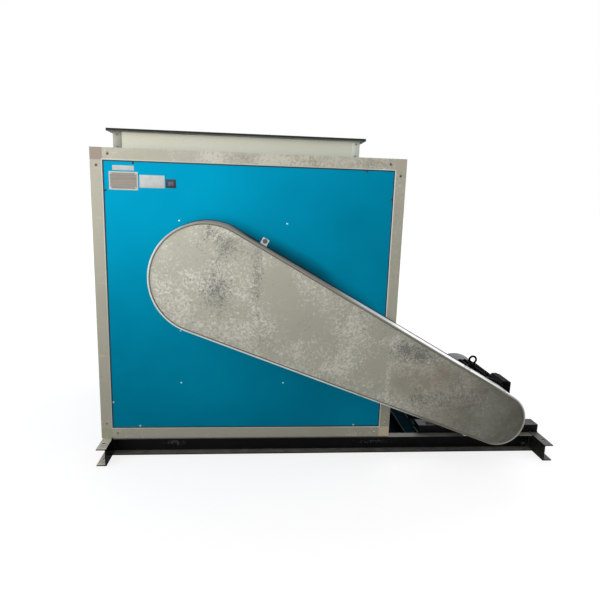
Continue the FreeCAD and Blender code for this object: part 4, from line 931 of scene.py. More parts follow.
@dataclass
class Cabinet:
    """The framed cabinet: profiles, corners, panels, screws, rivets and the plates on its front."""

    profiles: tuple[str, ...] = (
        "frame_posts", "frame_side_rails", "frame_bottom_rail_front", "frame_bottom_rail_rear",
        "frame_top_rail_front", "frame_top_rail_rear")
    panels: tuple[str, ...] = (
        "front_panel", "rear_panel", "left_panel", "right_panel", "top_panel", "bottom_panel")
    # Where shade is painted on the panel, along the guard's upper edge.
    guard_shade_marks: Marks = ((-300, 980, 330, 88, 0.70), (-20, 815, 420, 72, 0.44))
    guard_shade_lean: float = -29.6
    rail_blooms: Marks = (
        (-560, 1355, 90, 40, 0.3), (-300, 1355, 160, 40, 0.3), (20, 1355, 180, 40, 0.3),
        (-1040, 700, 110, 900, -0.4), (-400, 105, 900, 50, -0.3), (260, 700, 110, 700, -0.3),
        (-850, 1355, 200, 40, -0.3))
    rail_stains: Marks = ((-430, 1355, 130, 40, 0.5), (-150, 1355, 150, 40, 0.5), (130, 1355, 130, 40, 0.5))
    plate_rim: float = 5 * MM
    plate_margin: float = 0.3 * MM
    rivet_inset: float = 10 * MM
    rivet_radius: float = 3.2 * MM
    rivet_height: float = 1.6 * MM
    film: float = 0.5 * MM
    film_round: float = 0.15 * MM
    label_gap: float = 6 * MM
    label_size: tuple[float, float] = (104 * MM, 53 * MM)
    label_rise: float = 12 * MM
    strip_size: tuple[float, float] = (88 * MM, 20 * MM)
    strip_gap: float = 5 * MM
    tag_gap: float = 4 * MM
    tag_size: tuple[float, float] = (44 * MM, 37 * MM)
    tag_rise: float = 2 * MM
    tag_margin: float = 10 * MM
    seal_width: float = 5 * MM
    seal_height: float = 1 * MM
    seal_round: float = 0.4 * MM
    bead_width: float = 4 * MM
    bead_height: float = 0.8 * MM
    bead_round: float = 0.3 * MM
    washer_radius: float = 7 * MM
    washer_height: float = 0.6 * MM
    cap_reach: float = 1.03
    cap_rise: float = 1.05

    def build(self) -> None:
        """Dress the cabinet and add its small pieces."""
        low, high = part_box("frame_posts")
        # Galvanised profile: beige with soft flowers and stains along the top rail, darker towards the floor
        # as painted shade.
        dress(GalvanisedSheet(
            "galvanised_profile", metallic=0.4, specular=0.4, body="#B8B5A5", pale="#DEDBCB", dark="#827F73",
            rub="#DCD8CA", soil_and_shade="#8A8A80", flower=24 * MM, patch=110 * MM, flower_amount=0.6,
            needle_amount=0.5, rub_amount=0.5, smooth=0.42, rough=0.6, soil_and_shade_start=UP * high.z,
            soil_and_shade_end=UP * low.z, soil_and_shade_amount=0.25, blooms=flat_spots(low.y, self.rail_blooms),
            stains=flat_spots(low.y, self.rail_stains)), *self.profiles)
        # The cast corners differ: pinkish and beige above, greenish and tan below.
        dress(CastMetal(
            "cast_aluminium_corner", metallic=0.25, specular=0.4, colour="#A99C8F", drift="#9A8F83", tones=(
                Tone("#BEB5A3", RIGHT, -0.2, 0.1), Tone("#A3A48C", -RIGHT - UP, 0.0, 0.6),
                Tone("#D3C4AA", RIGHT / 2 - UP, -0.4, 0.0))), "frame_corners")
        # Blue lacquer with a soft sheen, with painted shade along the guard's upper edge.
        dress(EnamelledSheet(
            "blue_lacquered_sheet", metallic=0.62, specular=0.02,
            painted_shade_spots=flat_spots(low.y, self.guard_shade_marks, self.guard_shade_lean)), *self.panels)
        # Screws and rivets are dark above and catch the light below, most at the lower right.
        dress(CastMetal(
            "dark_screw", metallic=0.2, colour="#3C4A44", drift="#23302C", pore="#1B2522", grit=1.5 * MM,
            tones=(Tone("#A9BDBD", -UP, -0.6, -0.3),)), "panel_screws")
        dress(CastMetal(
            "rivet_head", metallic=0.2, colour="#4A3F35", drift="#352D27", grit=1.5 * MM, tones=(
                Tone("#7A7568", -UP, -0.6, -0.3, 0.8), Tone("#E2DFD5", RIGHT - UP, -0.4, -0.1))), "rivets")
        # The bare plate is brushed: fine level lines in a warm grey.
        dress(LinedMetal(
            "brushed_aluminium_plate", metallic=0.4, colour="#AAA399", line="#837D75", pitch=3 * MM,
            rough=0.5), "nameplate")
        self.frame_plate()
        self.stick_films()
        self.seal_front()
        self.seat_rivets()

    def frame_plate(self) -> None:
        """Raise a pale rim round the blank plate and rivet its corners."""
        # Polished aluminium: a pale line that outlines the plate.
        bright = LinedMetal("bright_aluminium_rim", metallic=0.2, colour="#DAD6CD", line="#C3BFB6")
        rim = Piece("plate_rim")
        rim.take("nameplate", FRONT)
        rim.keep_band(self.plate_margin, self.plate_rim)
        rim.thicken(FRONT, self.film)
        rim.finish(Slot.PLATE, bright)
        low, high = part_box("nameplate")
        rivets = Piece("plate_rivets")
        for x in (low.x + self.rivet_inset, high.x - self.rivet_inset):
            for z in (low.z + self.rivet_inset, high.z - self.rivet_inset):
                rivets.turned(Vector((x, low.y, z)), FRONT, Turning.PLATE_RIVET, self.rivet_radius,
                              self.rivet_height)
        rivets.finish(Slot.FASTENERS, bright)

    def stick_films(self) -> None:
        """Stick a blank strip and a blank label by the plate, and a small plain tag beside them."""
        low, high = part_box("nameplate")
        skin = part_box("front_panel")[0].y
        label = Vector((high.x + self.label_gap, skin, low.z + self.label_rise))
        strip = Vector(((low.x + high.x - self.strip_size[0]) / 2, skin, high.z + self.strip_gap))
        tag = label + Vector((self.label_size[0] + self.tag_gap, 0, self.tag_rise))
        centre = tag + Vector((self.tag_margin, -self.film, self.tag_margin))
        centre_size = tuple(side - 2 * self.tag_margin for side in self.tag_size)
        # Vinyl films: matt and even, white or in two dark greys with a blue cast.
        white = Moulded("white_vinyl_film", colour="#DFE2DF", bloom="#D0D3CF", rough=0.45, specular=0.3)
        dark = Moulded("dark_vinyl_film", colour="#2B2F3D", bloom="#3A3E4C")
        grey = Moulded("grey_vinyl_film", colour="#5A6072", bloom="#6B7183")
        for name, place, size, finish in (
                ("panel_label", label, self.label_size, white),
                ("panel_strip", strip, self.strip_size, white),
                ("panel_tag", tag, self.tag_size, dark), ("tag_centre", centre, centre_size, grey)):
            piece = Piece(name)
            piece.block(place + FRONT * self.film, place + RIGHT * size[0] + UP * size[1], self.film_round)
            piece.finish(Slot.PLASTIC, finish)

    def seal_front(self) -> None:
        """Lay a dark sealing strip round the front panel, partly painted shade, and the frame's rolled edge
        round that, painted pale as a highlight.
        """
        low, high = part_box("front_panel")
        seal = Piece("front_seal")
        seal.border(low + FRONT * self.seal_height, Vector((high.x, low.y, high.z)), self.seal_width,
                    self.seal_round)
        # A dark teal strip against the pale frame: partly a rubber seal, partly painted shade of the gap
        # between panel and frame.
        seal.finish(Slot.RUBBER, Moulded("sealing_rubber_painted_shade", colour="#0E3B4A", bloom="#123F4C"))
        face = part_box("frame_posts")[0].y
        around = (RIGHT + UP) * self.bead_width
        outer_low = Vector((low.x, face - self.bead_height, low.z)) - around
        outer_high = Vector((high.x, face, high.z)) + around
        bead = Piece("frame_bead")
        bead.border(outer_low, outer_high, self.bead_width, self.bead_round)
        # The profile's rolled edge is painted pale as a highlight, brightest on the right.
        bead.finish(Slot.FRAME, GalvanisedSheet(
            "rolled_profile_edge_highlight", metallic=0.3, specular=0.4, body="#C6C6BC", pale="#D6D6CC", dark="#A9A9A0",
            flower=9 * MM, patch=110 * MM, flower_amount=0.5, needle_amount=0.3,
            tones=(Tone("#F0F4EC", RIGHT, -0.05, 0.2),)))

    def seat_rivets(self) -> None:
        """Lay a pale washer under each rivet of the frame and a bright cap on each rivet of the panel."""
        panel_low, panel_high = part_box("front_panel")
        washers = Piece("rivet_washers")
        caps = Piece("rivet_caps")
        for low, high in solids_of("rivets"):
            centre = (low + high) / 2
            size = high - low
            thin = min(range(3), key=lambda axis: size[axis])
            sign = 1 if centre[thin] > (CAD_BOX[0][thin] + CAD_BOX[1][thin]) / 2 else -1
            axis = Vector([sign if index == thin else 0 for index in range(3)])
            seat = centre - axis * size[thin] / 2
            inside = panel_low.x < centre.x < panel_high.x and panel_low.z < centre.z < panel_high.z
            if thin == 1 and inside:
                reach = size.x / 2 * self.cap_reach
                caps.turned(seat, axis, Turning.RIVET_CAP, reach, size.y * self.cap_rise)
            else:
                washers.turned(seat, axis, Turning.RIVET_WASHER, self.washer_radius, self.washer_height)
        # Washers of dull steel: a pale ring round each dark rivet.
        washers.finish(Slot.FASTENERS, CastMetal(
            "dull_washer", metallic=0.3, colour="#A79F8F", drift="#958E80"))
        # Bright rivets, their pale cyan a painted reflection of the blue round them and a painted glint.
        caps.finish(Slot.FASTENERS, CastMetal(
            "bright_rivet", metallic=0.5, colour="#A4F2FF", drift="#90E6F6", pore="#7CCEDC", rough=0.3))


@dataclass
class Ducts:
    """The outlet and inlet collars with their gaskets and lap rivets."""

    outlet: str = "outlet_collar"
    inlet: str = "inlet_collar"
    flange: float = 24 * MM
    sheet: float = 1.5 * MM
    gasket_height: float = 8 * MM
    rivet_radius: float = 4.5 * MM
    rivet_height: float = 2 * MM
    rivet_top: float = 16 * MM
    rivet_foot: float = 18 * MM
    lap_width: float = 36 * MM
    lap_height: float = 1 * MM
    lap_round: float = 0.3 * MM

    def build(self) -> None:
        """Dress the collars, seal them and rivet their laps."""
        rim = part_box(self.outlet)[1].z
        # Clean beige sheet, with painted shade along the flange's edge.
        dress(GalvanisedSheet(
            "galvanised_collar_sheet", metallic=0.3, specular=0.4, body="#E0D9C4", pale="#EAE4D0",
            dark="#C4BEAB", soil_and_shade="#383732", smear="#474239", flower=14 * MM, patch=140 * MM,
            flower_amount=0.3, needle_amount=0.3, rub_amount=0.2, smooth=0.42, rough=0.6,
            soil_and_shade_start=UP * (rim - 3 * self.sheet), soil_and_shade_end=UP * (rim - 1.5 * self.sheet),
            soil_and_shade_amount=0.95, soil_and_shade_hides_metal=True), self.outlet, self.inlet)
        self.seal()
        self.lap_corners()

    def seal(self) -> None:
        """Lay a dark foam gasket on each flange, which stands for the shade along the flange's edge."""
        # Foam: nearly black, without shine, as painted shade along the flange.
        foam = Moulded("foam_gasket_painted_shade", colour="#1C1A17", bloom="#2A2722", rough=0.85)
        for node, axis in ((self.outlet, UP), (self.inlet, BACK)):
            piece = Piece(node + "_gasket")
            piece.take(node, axis)
            piece.thicken(axis, self.gasket_height)
            piece.finish(Slot.RUBBER, foam)

    def lap_corners(self) -> None:
        """Lap and rivet the sheet at the ends of the outlet collar's long walls."""
        low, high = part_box(self.outlet)
        laps = Piece("collar_laps")
        rivets = Piece("lap_rivets")
        inset = self.flange - self.sheet
        for axis, wall in ((FRONT, low.y + inset), (BACK, high.y - inset)):
            skin = wall + axis.y * self.lap_height
            for left in (low.x + self.flange, high.x - self.flange - self.lap_width):
                lap_low = Vector((left, min(wall, skin), low.z + self.sheet))
                lap_high = Vector((left + self.lap_width, max(wall, skin), high.z - self.sheet))
                laps.block(lap_low, lap_high, self.lap_round)
                for z in (high.z - self.rivet_top, low.z + self.rivet_foot):
                    rivets.turned(Vector((left + self.lap_width / 2, skin, z)), axis, Turning.LAP_RIVET,
                                  self.rivet_radius, self.rivet_height)
        # The left lap is darker with painted shade, the right one as bright as the wall.
        laps.finish(Slot.FRAME, GalvanisedSheet(
            "lapped_collar_sheet", metallic=0.3, specular=0.4, body="#A6A597", pale="#B5B4A6", dark="#8C8B7F",
            flower=14 * MM, patch=60 * MM, flower_amount=0.5, needle_amount=0.5, smooth=0.42, rough=0.6,
            tones=(Tone("#DEDAC8", RIGHT, -0.8, 0.0, 0.9),)))
        rivets.finish(Slot.FASTENERS, DULL_BOLT)


@dataclass
class Guard:
    """The belt guard: rim, face, back plate and fixing straps."""

    face: str = "guard_face"
    rim: str = "guard_rim"
    lip: float = 1.5 * MM
    hem_height: float = 0.3 * MM
    hem_round: float = 0.8 * MM
    seam_inset: float = 4.6 * MM
    seam_width: float = 3.9 * MM
    seam_height: float = 1.4 * MM
    seal_height: float = 3 * MM
    seal_proud: float = 2.5 * MM
    washer_radius: float = 11 * MM
    washer_height: float = 1 * MM
    hem_way: Vector = Vector((0.6, 0, 0.8))
    soil_and_shade_from: float = 0.65
    soil_and_shade_to: float = 1.02
    blooms: Marks = (
        (-711, 839, 150, 250, 0.07), (-560, 655, 190, 80, 0.10), (-400, 620, 170, 90, 0.10),
        (-590, 1010, 90, 60, -0.12), (-285, 830, 70, 190, -0.35), (-150, 700, 150, 110, -0.2),
        (75, 700, 75, 60, 0.25), (-20, 478, 150, 90, 0.2), (160, 520, 150, 120, -0.08),
        (221, 602, 45, 30, 0.35), (216, 430, 16, 130, 0.3), (740, 240, 200, 170, -0.2))
    stains: Marks = (
        (-530, 825, 100, 140, 0.48), (-490, 995, 85, 95, 0.48), (-362, 850, 42, 210, 0.46),
        (-563, 1050, 60, 50, 0.36), (285, 570, 110, 80, 0.68), (380, 530, 120, 65, 0.66),
        (420, 330, 180, 70, 0.4))
    smears: Marks = ((350, 430, 220, 100, 0.38), (740, 240, 240, 200, -0.25))
    shade_and_grime: Marks = ((355, 435, 220, 100, 0.42),)

    def build(self) -> None:
        """Dress the guard and trim its edges."""
        low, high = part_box(self.face)
        width = high.x - low.x
        # A spangled sheet: pale flowers on the left, dark needles in the disc, brown soil with painted shade
        # towards the motor.
        dress(GalvanisedSheet(
            "spangled_galvanised_sheet", metallic=0.65, blooms=flat_spots(low.y, self.blooms),
            stains=flat_spots(low.y, self.stains), smears=flat_spots(low.y, self.smears),
            soil_and_shade_spots=flat_spots(low.y, self.shade_and_grime), soil_and_shade_start=RIGHT * (low.x + self.soil_and_shade_from * width),
            soil_and_shade_end=RIGHT * (low.x + self.soil_and_shade_to * width), soil_and_shade_amount=0.80), self.face, "guard_back_plate")
        # The rim carries painted light: painted shade where it passes the panel, a dark painted reflection of
        # the panel at its rear, and a bright painted reflection beyond the cabinet.
        dress(GalvanisedSheet(
            "rolled_rim_sheet", metallic=0.7, specular=0.1, body="#C9C9C4", pale="#DADAD5", dark="#A6A7A3",
            soil_and_shade="#948C84", smear="#A0968E", soil_and_shade_start=RIGHT * 0.33, soil_and_shade_end=RIGHT * 0.21, soil_and_shade_amount=0.95,
            soil_and_shade_hides_metal=True, smooth=0.2, rough=0.32, tones=(
                Tone("#F0F2F0", RIGHT, -0.04, 0.10, 0.95), Tone("#23444B", Vector((-0.8, 6, 0)), -4.0, -3.7),
                Tone("#A7A299", -RIGHT, 0.40, 0.49, 0.85))), self.rim)
        dress(BRIGHT_ZINC, "guard_brackets")
        dress(DULL_BOLT, "guard_bolts")
        self.trim()
        self.seat_bolts()

    def seat_bolts(self) -> None:
        """Lay a dull washer under each bolt of the straps."""
        piece = Piece("guard_washers")
        for low, high in solids_of("guard_bolts"):
            seat = Vector(((low.x + high.x) / 2, high.y, (low.z + high.z) / 2))
            piece.turned(seat, FRONT, Turning.STRAP_WASHER, self.washer_radius, self.washer_height)
        piece.finish(Slot.FASTENERS, DULL_BOLT)

    def trim(self) -> None:
        """Roll a hem painted bright as a highlight on the rim's lip, run mastic with painted shade inside it
        and seal the rim's rear edge with dark foam as painted shade.
        """
        hem = Piece("guard_hem")
        hem.take(self.rim, FRONT)
        hem.thicken(FRONT, self.hem_height, self.hem_round)
        # The rolled hem is painted bright below and on the left as a highlight, and darker and browner above
        # and towards the motor.
        hem.finish(Slot.GUARD, GalvanisedSheet(
            "rolled_hem_painted_highlight", metallic=0.1, body="#E6EEE8", pale="#F3F7F3", dark="#B4B8B4", rub="#F6F8F6",
            soil_and_shade="#8B867B", smear="#9C8F82", flower=10 * MM, patch=60 * MM, needle_amount=0.4, smooth=0.22,
            rough=0.4, soil_and_shade_start=self.hem_way * 0.28, soil_and_shade_end=self.hem_way * 0.55, soil_and_shade_amount=0.95, tones=(
                Tone("#77756B", RIGHT - UP, -0.05, 0.15, 0.9), Tone("#C2C3BC", RIGHT, 0.70, 0.80, 0.9))))
        seam = Piece("guard_seam")
        seam.take(self.face, FRONT)
        seam.keep_band(self.seam_inset, self.seam_width)
        seam.thicken(FRONT, self.lip + self.seam_height)
        # Mastic: a soft grey line inside the hem, partly painted shade of the lip's step.
        seam.finish(Slot.RUBBER, Moulded("mastic_and_painted_shade", colour="#6A675D", bloom="#7A776C"))
        seal = Piece("guard_seal")
        seal.take(self.rim, BACK)
        seal.thicken(BACK, self.seal_height)
        seal.swell(BACK, self.seal_proud)
        # Foam: nearly black, painted shade along the rim's rear edge, so that the rim stands off the panel.
        seal.finish(Slot.RUBBER, Moulded("sealing_foam_painted_shade", colour="#1B1C1C", bloom="#2B2C2B", rough=0.85))


@dataclass
class Blower:
    """What turns inside the cabinet: scroll, wheel, shaft and bearings."""

    sheets: tuple[str, ...] = (
        "scroll_wrap", "scroll_side_front", "scroll_side_rear", "inlet_cone_front", "inlet_cone_rear",
        "impeller_disc", "impeller_rings", "impeller_blades")
    bearings: str = "bearing_housings"
    foot_height: float = 20 * MM
    bolt_inset: float = 22 * MM
    bolt_across: float = 18 * MM
    bolt_height: float = 7.5 * MM
    washer_radius: float = 12 * MM
    washer_height: float = 2.5 * MM

    def build(self) -> None:
        """Dress the blower and bolt its bearings down."""
        # Plain galvanised sheet, greyer than the guard because air keeps it dusty.
        dress(GalvanisedSheet(
            "galvanised_blower_sheet", metallic=0.7, body="#A6A59D", pale="#C2C1B8", dark="#82817B"),
            *self.sheets)
        # Brushed black, with less dust than the base.
        dress(BlackPaint(
            "black_inner_steel", dust_and_sheen_amount=0.4), "scroll_stand", "bearing_posts", "bearing_beams")
        # Sand cast iron: a dark grey, grainy skin.
        dress(CastMetal(
            "grey_cast_iron", metallic=0.3, colour="#5A5C5E", drift="#46484A", pore="#2E2F30"),
            "impeller_hub", self.bearings, "fan_pulley", "motor_pulley")
        # Ground steel: bright, with fine rings round the shaft.
        dress(LinedMetal(
            "ground_shaft_steel", metallic=0.95, colour="#B7B6B2", line="#8F8E8B", stretch=(1.0, 0.02, 1.0)),
            "fan_shaft", "bearing_sleeves")
        self.bolt_bearings()

    def bolt_bearings(self) -> None:
        """Put a washer and a hexagon bolt on each foot of the bearing housings."""
        piece = Piece("bearing_bolts")
        for low, high in solids_of(self.bearings):
            for x in (low.x + self.bolt_inset, high.x - self.bolt_inset):
                seat = Vector((x, (low.y + high.y) / 2, low.z + self.foot_height))
                piece.turned(seat, UP, Turning.BEARING_WASHER, self.washer_radius, self.washer_height)
                piece.hexagon(seat + UP * self.washer_height, UP, self.bolt_across, self.bolt_height)
        piece.finish(Slot.FASTENERS, ZINC_BOLT)


@dataclass
class Belts:
    """The V belts, run round both pulleys."""

    node: str = "drive_belts"
    count: int = 3
    half: float = 7.95 * MM
    height: float = 12 * MM
    taper: float = 2.3 * MM
    fan_facets: int = 40
    motor_facets: int = 24

    def build(self) -> None:
        """Run each belt round both pulleys."""
        low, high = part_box(self.node)
        joints = {joint["name"]: joint for joint in frame["joints"]}
        fan = Vector(joints["fan_spin"]["pos_m"])
        motor = Vector(joints["motor_spin"]["pos_m"])
        fan_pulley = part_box("fan_pulley")
        motor_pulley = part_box("motor_pulley")
        big = (fan_pulley[1].z - fan_pulley[0].z) / 2
        small = (motor_pulley[1].z - motor_pulley[0].z) / 2
        pitch = (high.y - low.y - 2 * self.half) / (self.count - 1)
        piece = Piece("v_belts")
        for index in range(self.count):
            self.belt(piece, fan, motor, big, small, low.y + self.half + index * pitch)
        # Rubber and cloth: a dull black that grey wear lightens.
        made = piece.as_object(Moulded("belt_rubber_cloth", colour="#17181A", bloom="#262626", rough=0.7))
        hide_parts(self.node)
        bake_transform(made)

    def belt(self, piece: Piece, fan: Vector, motor: Vector, big: float, small: float, middle: float) -> None:
        """Run one belt round both pulleys.

        Args:
            piece: The piece that it belongs to.
            fan: The fan axis.
            motor: The motor axis.
            big: The belt's outer radius on the fan pulley.
            small: The belt's outer radius on the motor pulley.
            middle: The belt's place along the axes.
        """
        reach = motor - fan
        lean = math.atan2(reach.z, reach.x)
        open_angle = math.acos((big - small) / math.hypot(reach.x, reach.z))
        upper = lean + open_angle
        lower = lean - open_angle
        foot = self.half - self.taper
        section = [(big, -self.half), (big, self.half), (big - self.height, foot), (big - self.height, -foot)]
        out = Vector((math.cos(upper), 0, math.sin(upper)))
        points = [piece.mesh.verts.new(Vector((fan.x, middle + across, fan.z)) + out * radius)
                  for radius, across in section]
        edges = [piece.mesh.edges.new((points[i], points[(i + 1) % len(points)])) for i in range(len(points))]
        edges = self.round(piece, edges, fan, FULL_TURN - 2 * open_angle, self.fan_facets)
        down = Vector((math.cos(lower), 0, math.sin(lower)))
        edges = self.straight(piece, edges, reach - down * (big - small))
        edges = self.round(piece, edges, motor, 2 * open_angle, self.motor_facets)
        self.straight(piece, edges, out * (big - small) - reach)

    def round(self, piece: Piece, edges: Edges, centre: Vector, angle: float, steps: int) -> Edges:
        """Carry the belt's section round a pulley.

        Args:
            piece: The piece that the belt belongs to.
            edges: The section to carry on.
            centre: The pulley's axis.
            angle: How far it wraps.
            steps: The number of facets.

        Returns:
            The section at the end.
        """
        made = bmesh.ops.spin(piece.mesh, geom=edges, cent=centre, axis=FRONT, angle=angle, steps=steps)
        return [item for item in made["geom_last"] if isinstance(item, bmesh.types.BMEdge)]

    def straight(self, piece: Piece, edges: Edges, run: Vector) -> Edges:
        """Carry the belt's section along a straight run.

        Args:
            piece: The piece that the belt belongs to.
            edges: The section to carry on.
            run: How far it goes.

        Returns:
            The section at the end.
        """
        grown = bmesh.ops.extrude_edge_only(piece.mesh, edges=edges)["geom"]
        points = [item for item in grown if isinstance(item, bmesh.types.BMVert)]
        bmesh.ops.translate(piece.mesh, verts=points, vec=(run.x, 0, run.z))
        ends = set(points)
        return [item for item in grown if isinstance(item, bmesh.types.BMEdge) and set(item.verts) <= ends]


@dataclass
class Motor:
    """The foot motor with its cowl, terminal box, eye and tension screws."""

    cowl: str = "motor_fan_cowl"
    lid: str = "terminal_lid"
    screw_across: float = 8 * MM
    screw_height: float = 4 * MM
    screw_inset: float = 12 * MM
    cowl_screws: int = 4
    cowl_inset: float = 9 * MM
    dome_radius: float = 5 * MM
    dome_height: float = 2.6 * MM
    dome_sink: float = 0.3 * MM

    def build(self) -> None:
        """Dress the motor and add its cover screws."""
        # Cast iron under enamel: black and matt, with a coarse skin.
        dress(BlackPaint(
            "black_cast_iron", colour="#0C0D0E", worn="#17181A", dust_and_sheen="#2A2926", gloss=0.55, dust_and_sheen_amount=0.2,
            specular=0.05, pit=3 * MM, pit_depth=0.8 * MM), "motor_frame", "motor_end_shields", "lifting_eye")
        # Pressed steel under the same enamel is smoother.
        pressed = BlackPaint(
            "black_pressed_steel", colour="#0B0C0D", worn="#161719", gloss=0.6, dust_and_sheen="#242320",
            dust_and_sheen_amount=0.2, specular=0.04)
        dress(pressed, "terminal_box", self.lid)
        # The rounded cowl is grey on top: a painted reflection of the bright surroundings.
        dress(replace(
            pressed, name="pressed_cowl_painted_reflection", gloss=0.5, dust_and_sheen="#9A9A97", dust_and_sheen_amount=0.8, specular=0.1),
            self.cowl)
        # Varnished laminations: a brown grey with close stripes.
        dress(LinedMetal(
            "varnished_laminations", metallic=0.5, colour="#5B5652", line="#3B3836", stretch=(1.0, 12.0, 1.0),
            rough=0.5), "motor_stator", "motor_rotor_core")
        # Turned steel: bright, with fine rings round the shaft.
        dress(LinedMetal(
            "turned_motor_shaft", metallic=0.95, colour="#B4B3AF", line="#8C8B88", stretch=(1.0, 0.02, 1.0)),
            "motor_shaft")
        # Nylon: black, with a soft sheen.
        dress(Moulded("black_nylon", colour="#121314", bloom="#1F2021"), "motor_cooling_fan", "cable_gland")
        dress(ZINC_BOLT, "motor_foot_bolts", "tension_screws")
        self.screw_lid()
        self.screw_cowl()

    def screw_cowl(self) -> None:
        """Put domed screws round the cowl's open end."""
        low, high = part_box(self.cowl)
        centre = (low + high) / 2
        reach = (high.z - low.z) / 2 - self.dome_sink
        piece = Piece("cowl_screws")
        for index in range(self.cowl_screws):
            turn = (index + 0.5) * FULL_TURN / self.cowl_screws
            out = Vector((math.cos(turn), 0, math.sin(turn)))
            foot = Vector((centre.x, low.y + self.cowl_inset, centre.z)) + out * reach
            piece.turned(foot, out, Turning.DOME_SCREW, self.dome_radius, self.dome_height)
        piece.finish(Slot.FASTENERS, ZINC_BOLT, Body.CARRIAGE)

    def screw_lid(self) -> None:
        """Put a screw at each corner of the terminal lid."""
        low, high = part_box(self.lid)
        piece = Piece("lid_screws")
        for y in (low.y + self.screw_inset, high.y - self.screw_inset):
            for z in (low.z + self.screw_inset, high.z - self.screw_inset):
                piece.hexagon(Vector((high.x, y, z)), RIGHT, self.screw_across, self.screw_height)
        piece.finish(Slot.FASTENERS, ZINC_BOLT, Body.CARRIAGE)


@dataclass(frozen=True)
class Lamp:
    """One soft square lamp: where it hangs, what it points at, its side's length and its power in watts."""

    name: str
    place: Vector
    target: Vector
    size: float
    power: float


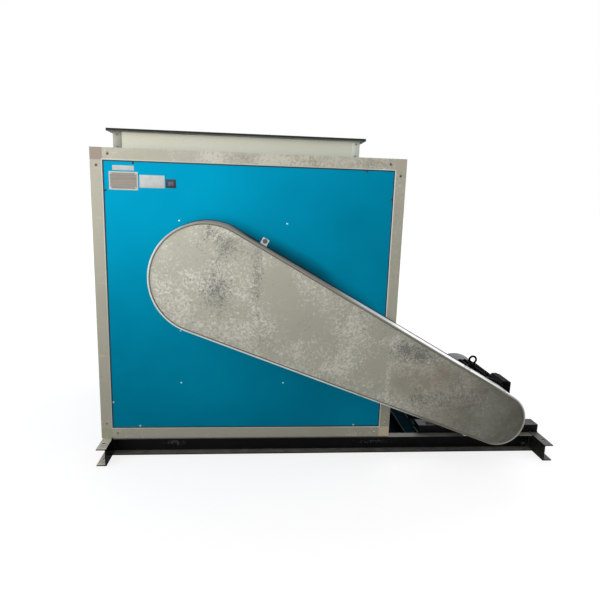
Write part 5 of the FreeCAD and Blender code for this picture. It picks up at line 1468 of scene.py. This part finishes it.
@dataclass
class Studio:
    """A pale floor, white surroundings, soft lamps and the camera."""

    camera_place: Vector = Vector((-0.3723, -2.8883, 1.1904))
    pitch: float = -10.96
    roll: float = -1.86
    yaw: float = -5.14
    focal_pixels: float = 516.5
    frame_pixels: float = 600.0
    sensor_width: float = 36.0
    lamps: tuple[Lamp, ...] = (
        Lamp("key", Vector((-3.3, -2.7, 1.5)), Vector((-0.4, -0.6, 0.8)), 1.6, 24),
        Lamp("rear", Vector((1.8, 2.6, 3.2)), Vector((0.4, 0, 0.6)), 2.5, 60))
    ambient: float = 0.80
    hall_bright: float = 2.1
    hall_dim: float = 0.38
    floor_half: float = 40.0
    floor_drop: float = 1 * MM
    floor_white: str = "#F2F2F2"
    floor_grey: str = "#989896"
    floor_glow: float = 1.12
    floor_bright: float = 1.5

    def build(self) -> None:
        """Set up the whole studio."""
        self.set_camera()
        self.lay_floor()
        self.light_world()
        for lamp in self.lamps:
            self.hang(lamp)
        bpy.context.scene.view_settings.view_transform = "Standard"

    def set_camera(self) -> None:
        """Stand the camera where the photograph was taken."""
        data = bpy.data.cameras.new("camera")
        data.sensor_width = self.sensor_width
        data.lens = self.focal_pixels / self.frame_pixels * data.sensor_width
        camera = bpy.data.objects.new("camera", data)
        turn = Matrix.Identity(3)
        for angle, axis in ((self.yaw, "Z"), (self.pitch, "X"), (self.roll, "Y"), (90, "X")):
            turn = turn @ Matrix.Rotation(math.radians(angle), 3, axis)
        camera.matrix_world = Matrix.Translation(self.camera_place) @ turn.to_4x4()
        bpy.context.scene.collection.objects.link(camera)
        bpy.context.scene.camera = camera

    def lay_floor(self) -> None:
        """Lay a white floor that keeps the object's shadow."""
        mesh = bmesh.new()
        bmesh.ops.create_grid(mesh, x_segments=1, y_segments=1, size=self.floor_half)
        data = bpy.data.meshes.new("floor")
        mesh.to_mesh(data)
        mesh.free()
        floor = bpy.data.objects.new("floor", data)
        floor.location.z = -self.floor_drop
        bpy.context.scene.collection.objects.link(floor)
        data.materials.append(self.floor_material())
        floor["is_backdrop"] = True

    def floor_material(self) -> bpy.types.Material:
        """Make a floor that is white to the camera, and in mirrors greyer near the front.

        Returns:
            The floor's material.
        """
        made = bpy.data.materials.new("white_floor")
        made.use_nodes = True
        made.node_tree.nodes.clear()
        nodes = Nodes(made.node_tree)
        away = nodes.add("VectorMath", {0: nodes.place}, operation="LENGTH")
        way = nodes.add("VectorMath", {0: nodes.place}, operation="NORMALIZE")
        # Seen directly, it is shaded near the object only.
        white = nodes.add("BsdfDiffuse", {"Color": self.floor_white})
        glow = nodes.add("Emission", {"Strength": self.floor_glow})
        clear = nodes.add("MapRange", {"Value": away, "From Min": 1.2, "From Max": 4.0, "To Min": 0.7})
        bright = nodes.add("MixShader", {0: clear, 1: white, 2: glow})
        # What the front mirrors is dim on the right, and grey close by.
        across = nodes.add("SeparateXYZ", {0: way}, "X")
        level = nodes.add("MapRange", {
            "Value": across, "From Min": -0.10, "From Max": 0.20, "To Min": self.floor_bright,
            "To Max": self.hall_dim})
        plain = nodes.add("BsdfDiffuse", {"Color": self.floor_grey})
        dim = nodes.add("Emission", {"Strength": level})
        far = nodes.add("MapRange", {"Value": away, "From Min": 3.5, "From Max": 9.0})
        front = nodes.add("MixShader", {0: far, 1: plain, 2: dim})
        depth = nodes.add("SeparateXYZ", {0: way}, "Y")
        behind = nodes.add("MapRange", {"Value": depth, "From Min": 0.2, "From Max": 0.5})
        glossy = nodes.add("LightPath", output="Is Glossy Ray")
        shine = nodes.add("Math", {0: behind, 1: glossy}, operation="MULTIPLY")
        mirrored = nodes.add("MixShader", {0: shine, 1: front, 2: glow})
        seen = nodes.add("LightPath", output="Is Camera Ray")
        both = nodes.add("MixShader", {0: seen, 1: mirrored, 2: bright})
        nodes.add("OutputMaterial", {"Surface": both})
        return made

    def light_world(self) -> None:
        """Surround the object with white that lights it less than it shows.

        What the front mirrors is brighter on the left, like the windows of a hall.
        """
        world = bpy.data.worlds.new("white_surroundings")
        world.use_nodes = True
        world.node_tree.nodes.clear()
        nodes = Nodes(world.node_tree, "Generated")
        across = nodes.add("SeparateXYZ", {0: nodes.place}, "X")
        hall = nodes.add("MapRange", {
            "Value": across, "From Min": -0.05, "From Max": 0.20, "To Min": self.hall_bright,
            "To Max": self.hall_dim})
        depth = nodes.add("SeparateXYZ", {0: nodes.place}, "Y")
        behind = nodes.add("MapRange", {"Value": depth, "From Min": -0.2, "From Max": 0.2})
        around = nodes.add("Mix", {0: behind, 2: hall, 3: 1.0})
        glossy = nodes.add("LightPath", output="Is Glossy Ray")
        level = nodes.add("Mix", {0: glossy, 2: self.ambient, 3: around})
        seen = nodes.add("LightPath", output="Is Camera Ray")
        strength = nodes.add("Mix", {0: seen, 2: level, 3: 1.0})
        sky = nodes.add("Background", {"Strength": strength, "Color": "#FFFFFF"})
        nodes.add("OutputWorld", {"Surface": sky})
        bpy.context.scene.world = world

    def hang(self, lamp: Lamp) -> None:
        """Hang one lamp.

        Args:
            lamp: What hangs where.
        """
        data = bpy.data.lights.new(lamp.name, "AREA")
        data.size = lamp.size
        data.energy = lamp.power
        made = bpy.data.objects.new(lamp.name, data)
        made.matrix_world = aim(lamp.place, (lamp.place - lamp.target).normalized())
        made.visible_camera = False
        bpy.context.scene.collection.objects.link(made)


def note_sizes() -> None:
    """Work out the CAD box and the dressed model's box."""
    boxes = {"cad": CAD_BOX, "visual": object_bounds()}
    {name: [list(corner) for corner in box] for name, box in boxes.items()}


def main() -> None:
    """Dress every sub-assembly and set up the studio."""
    logging.basicConfig(level=logging.INFO, format="%(message)s")
    for part in (Base(), Cabinet(), Ducts(), Guard(), Blower(), Belts(), Motor(), Studio()):
        logger.info("building %s", type(part).__name__)
        part.build()
    note_sizes()


if __name__ == "__main__":
    main()
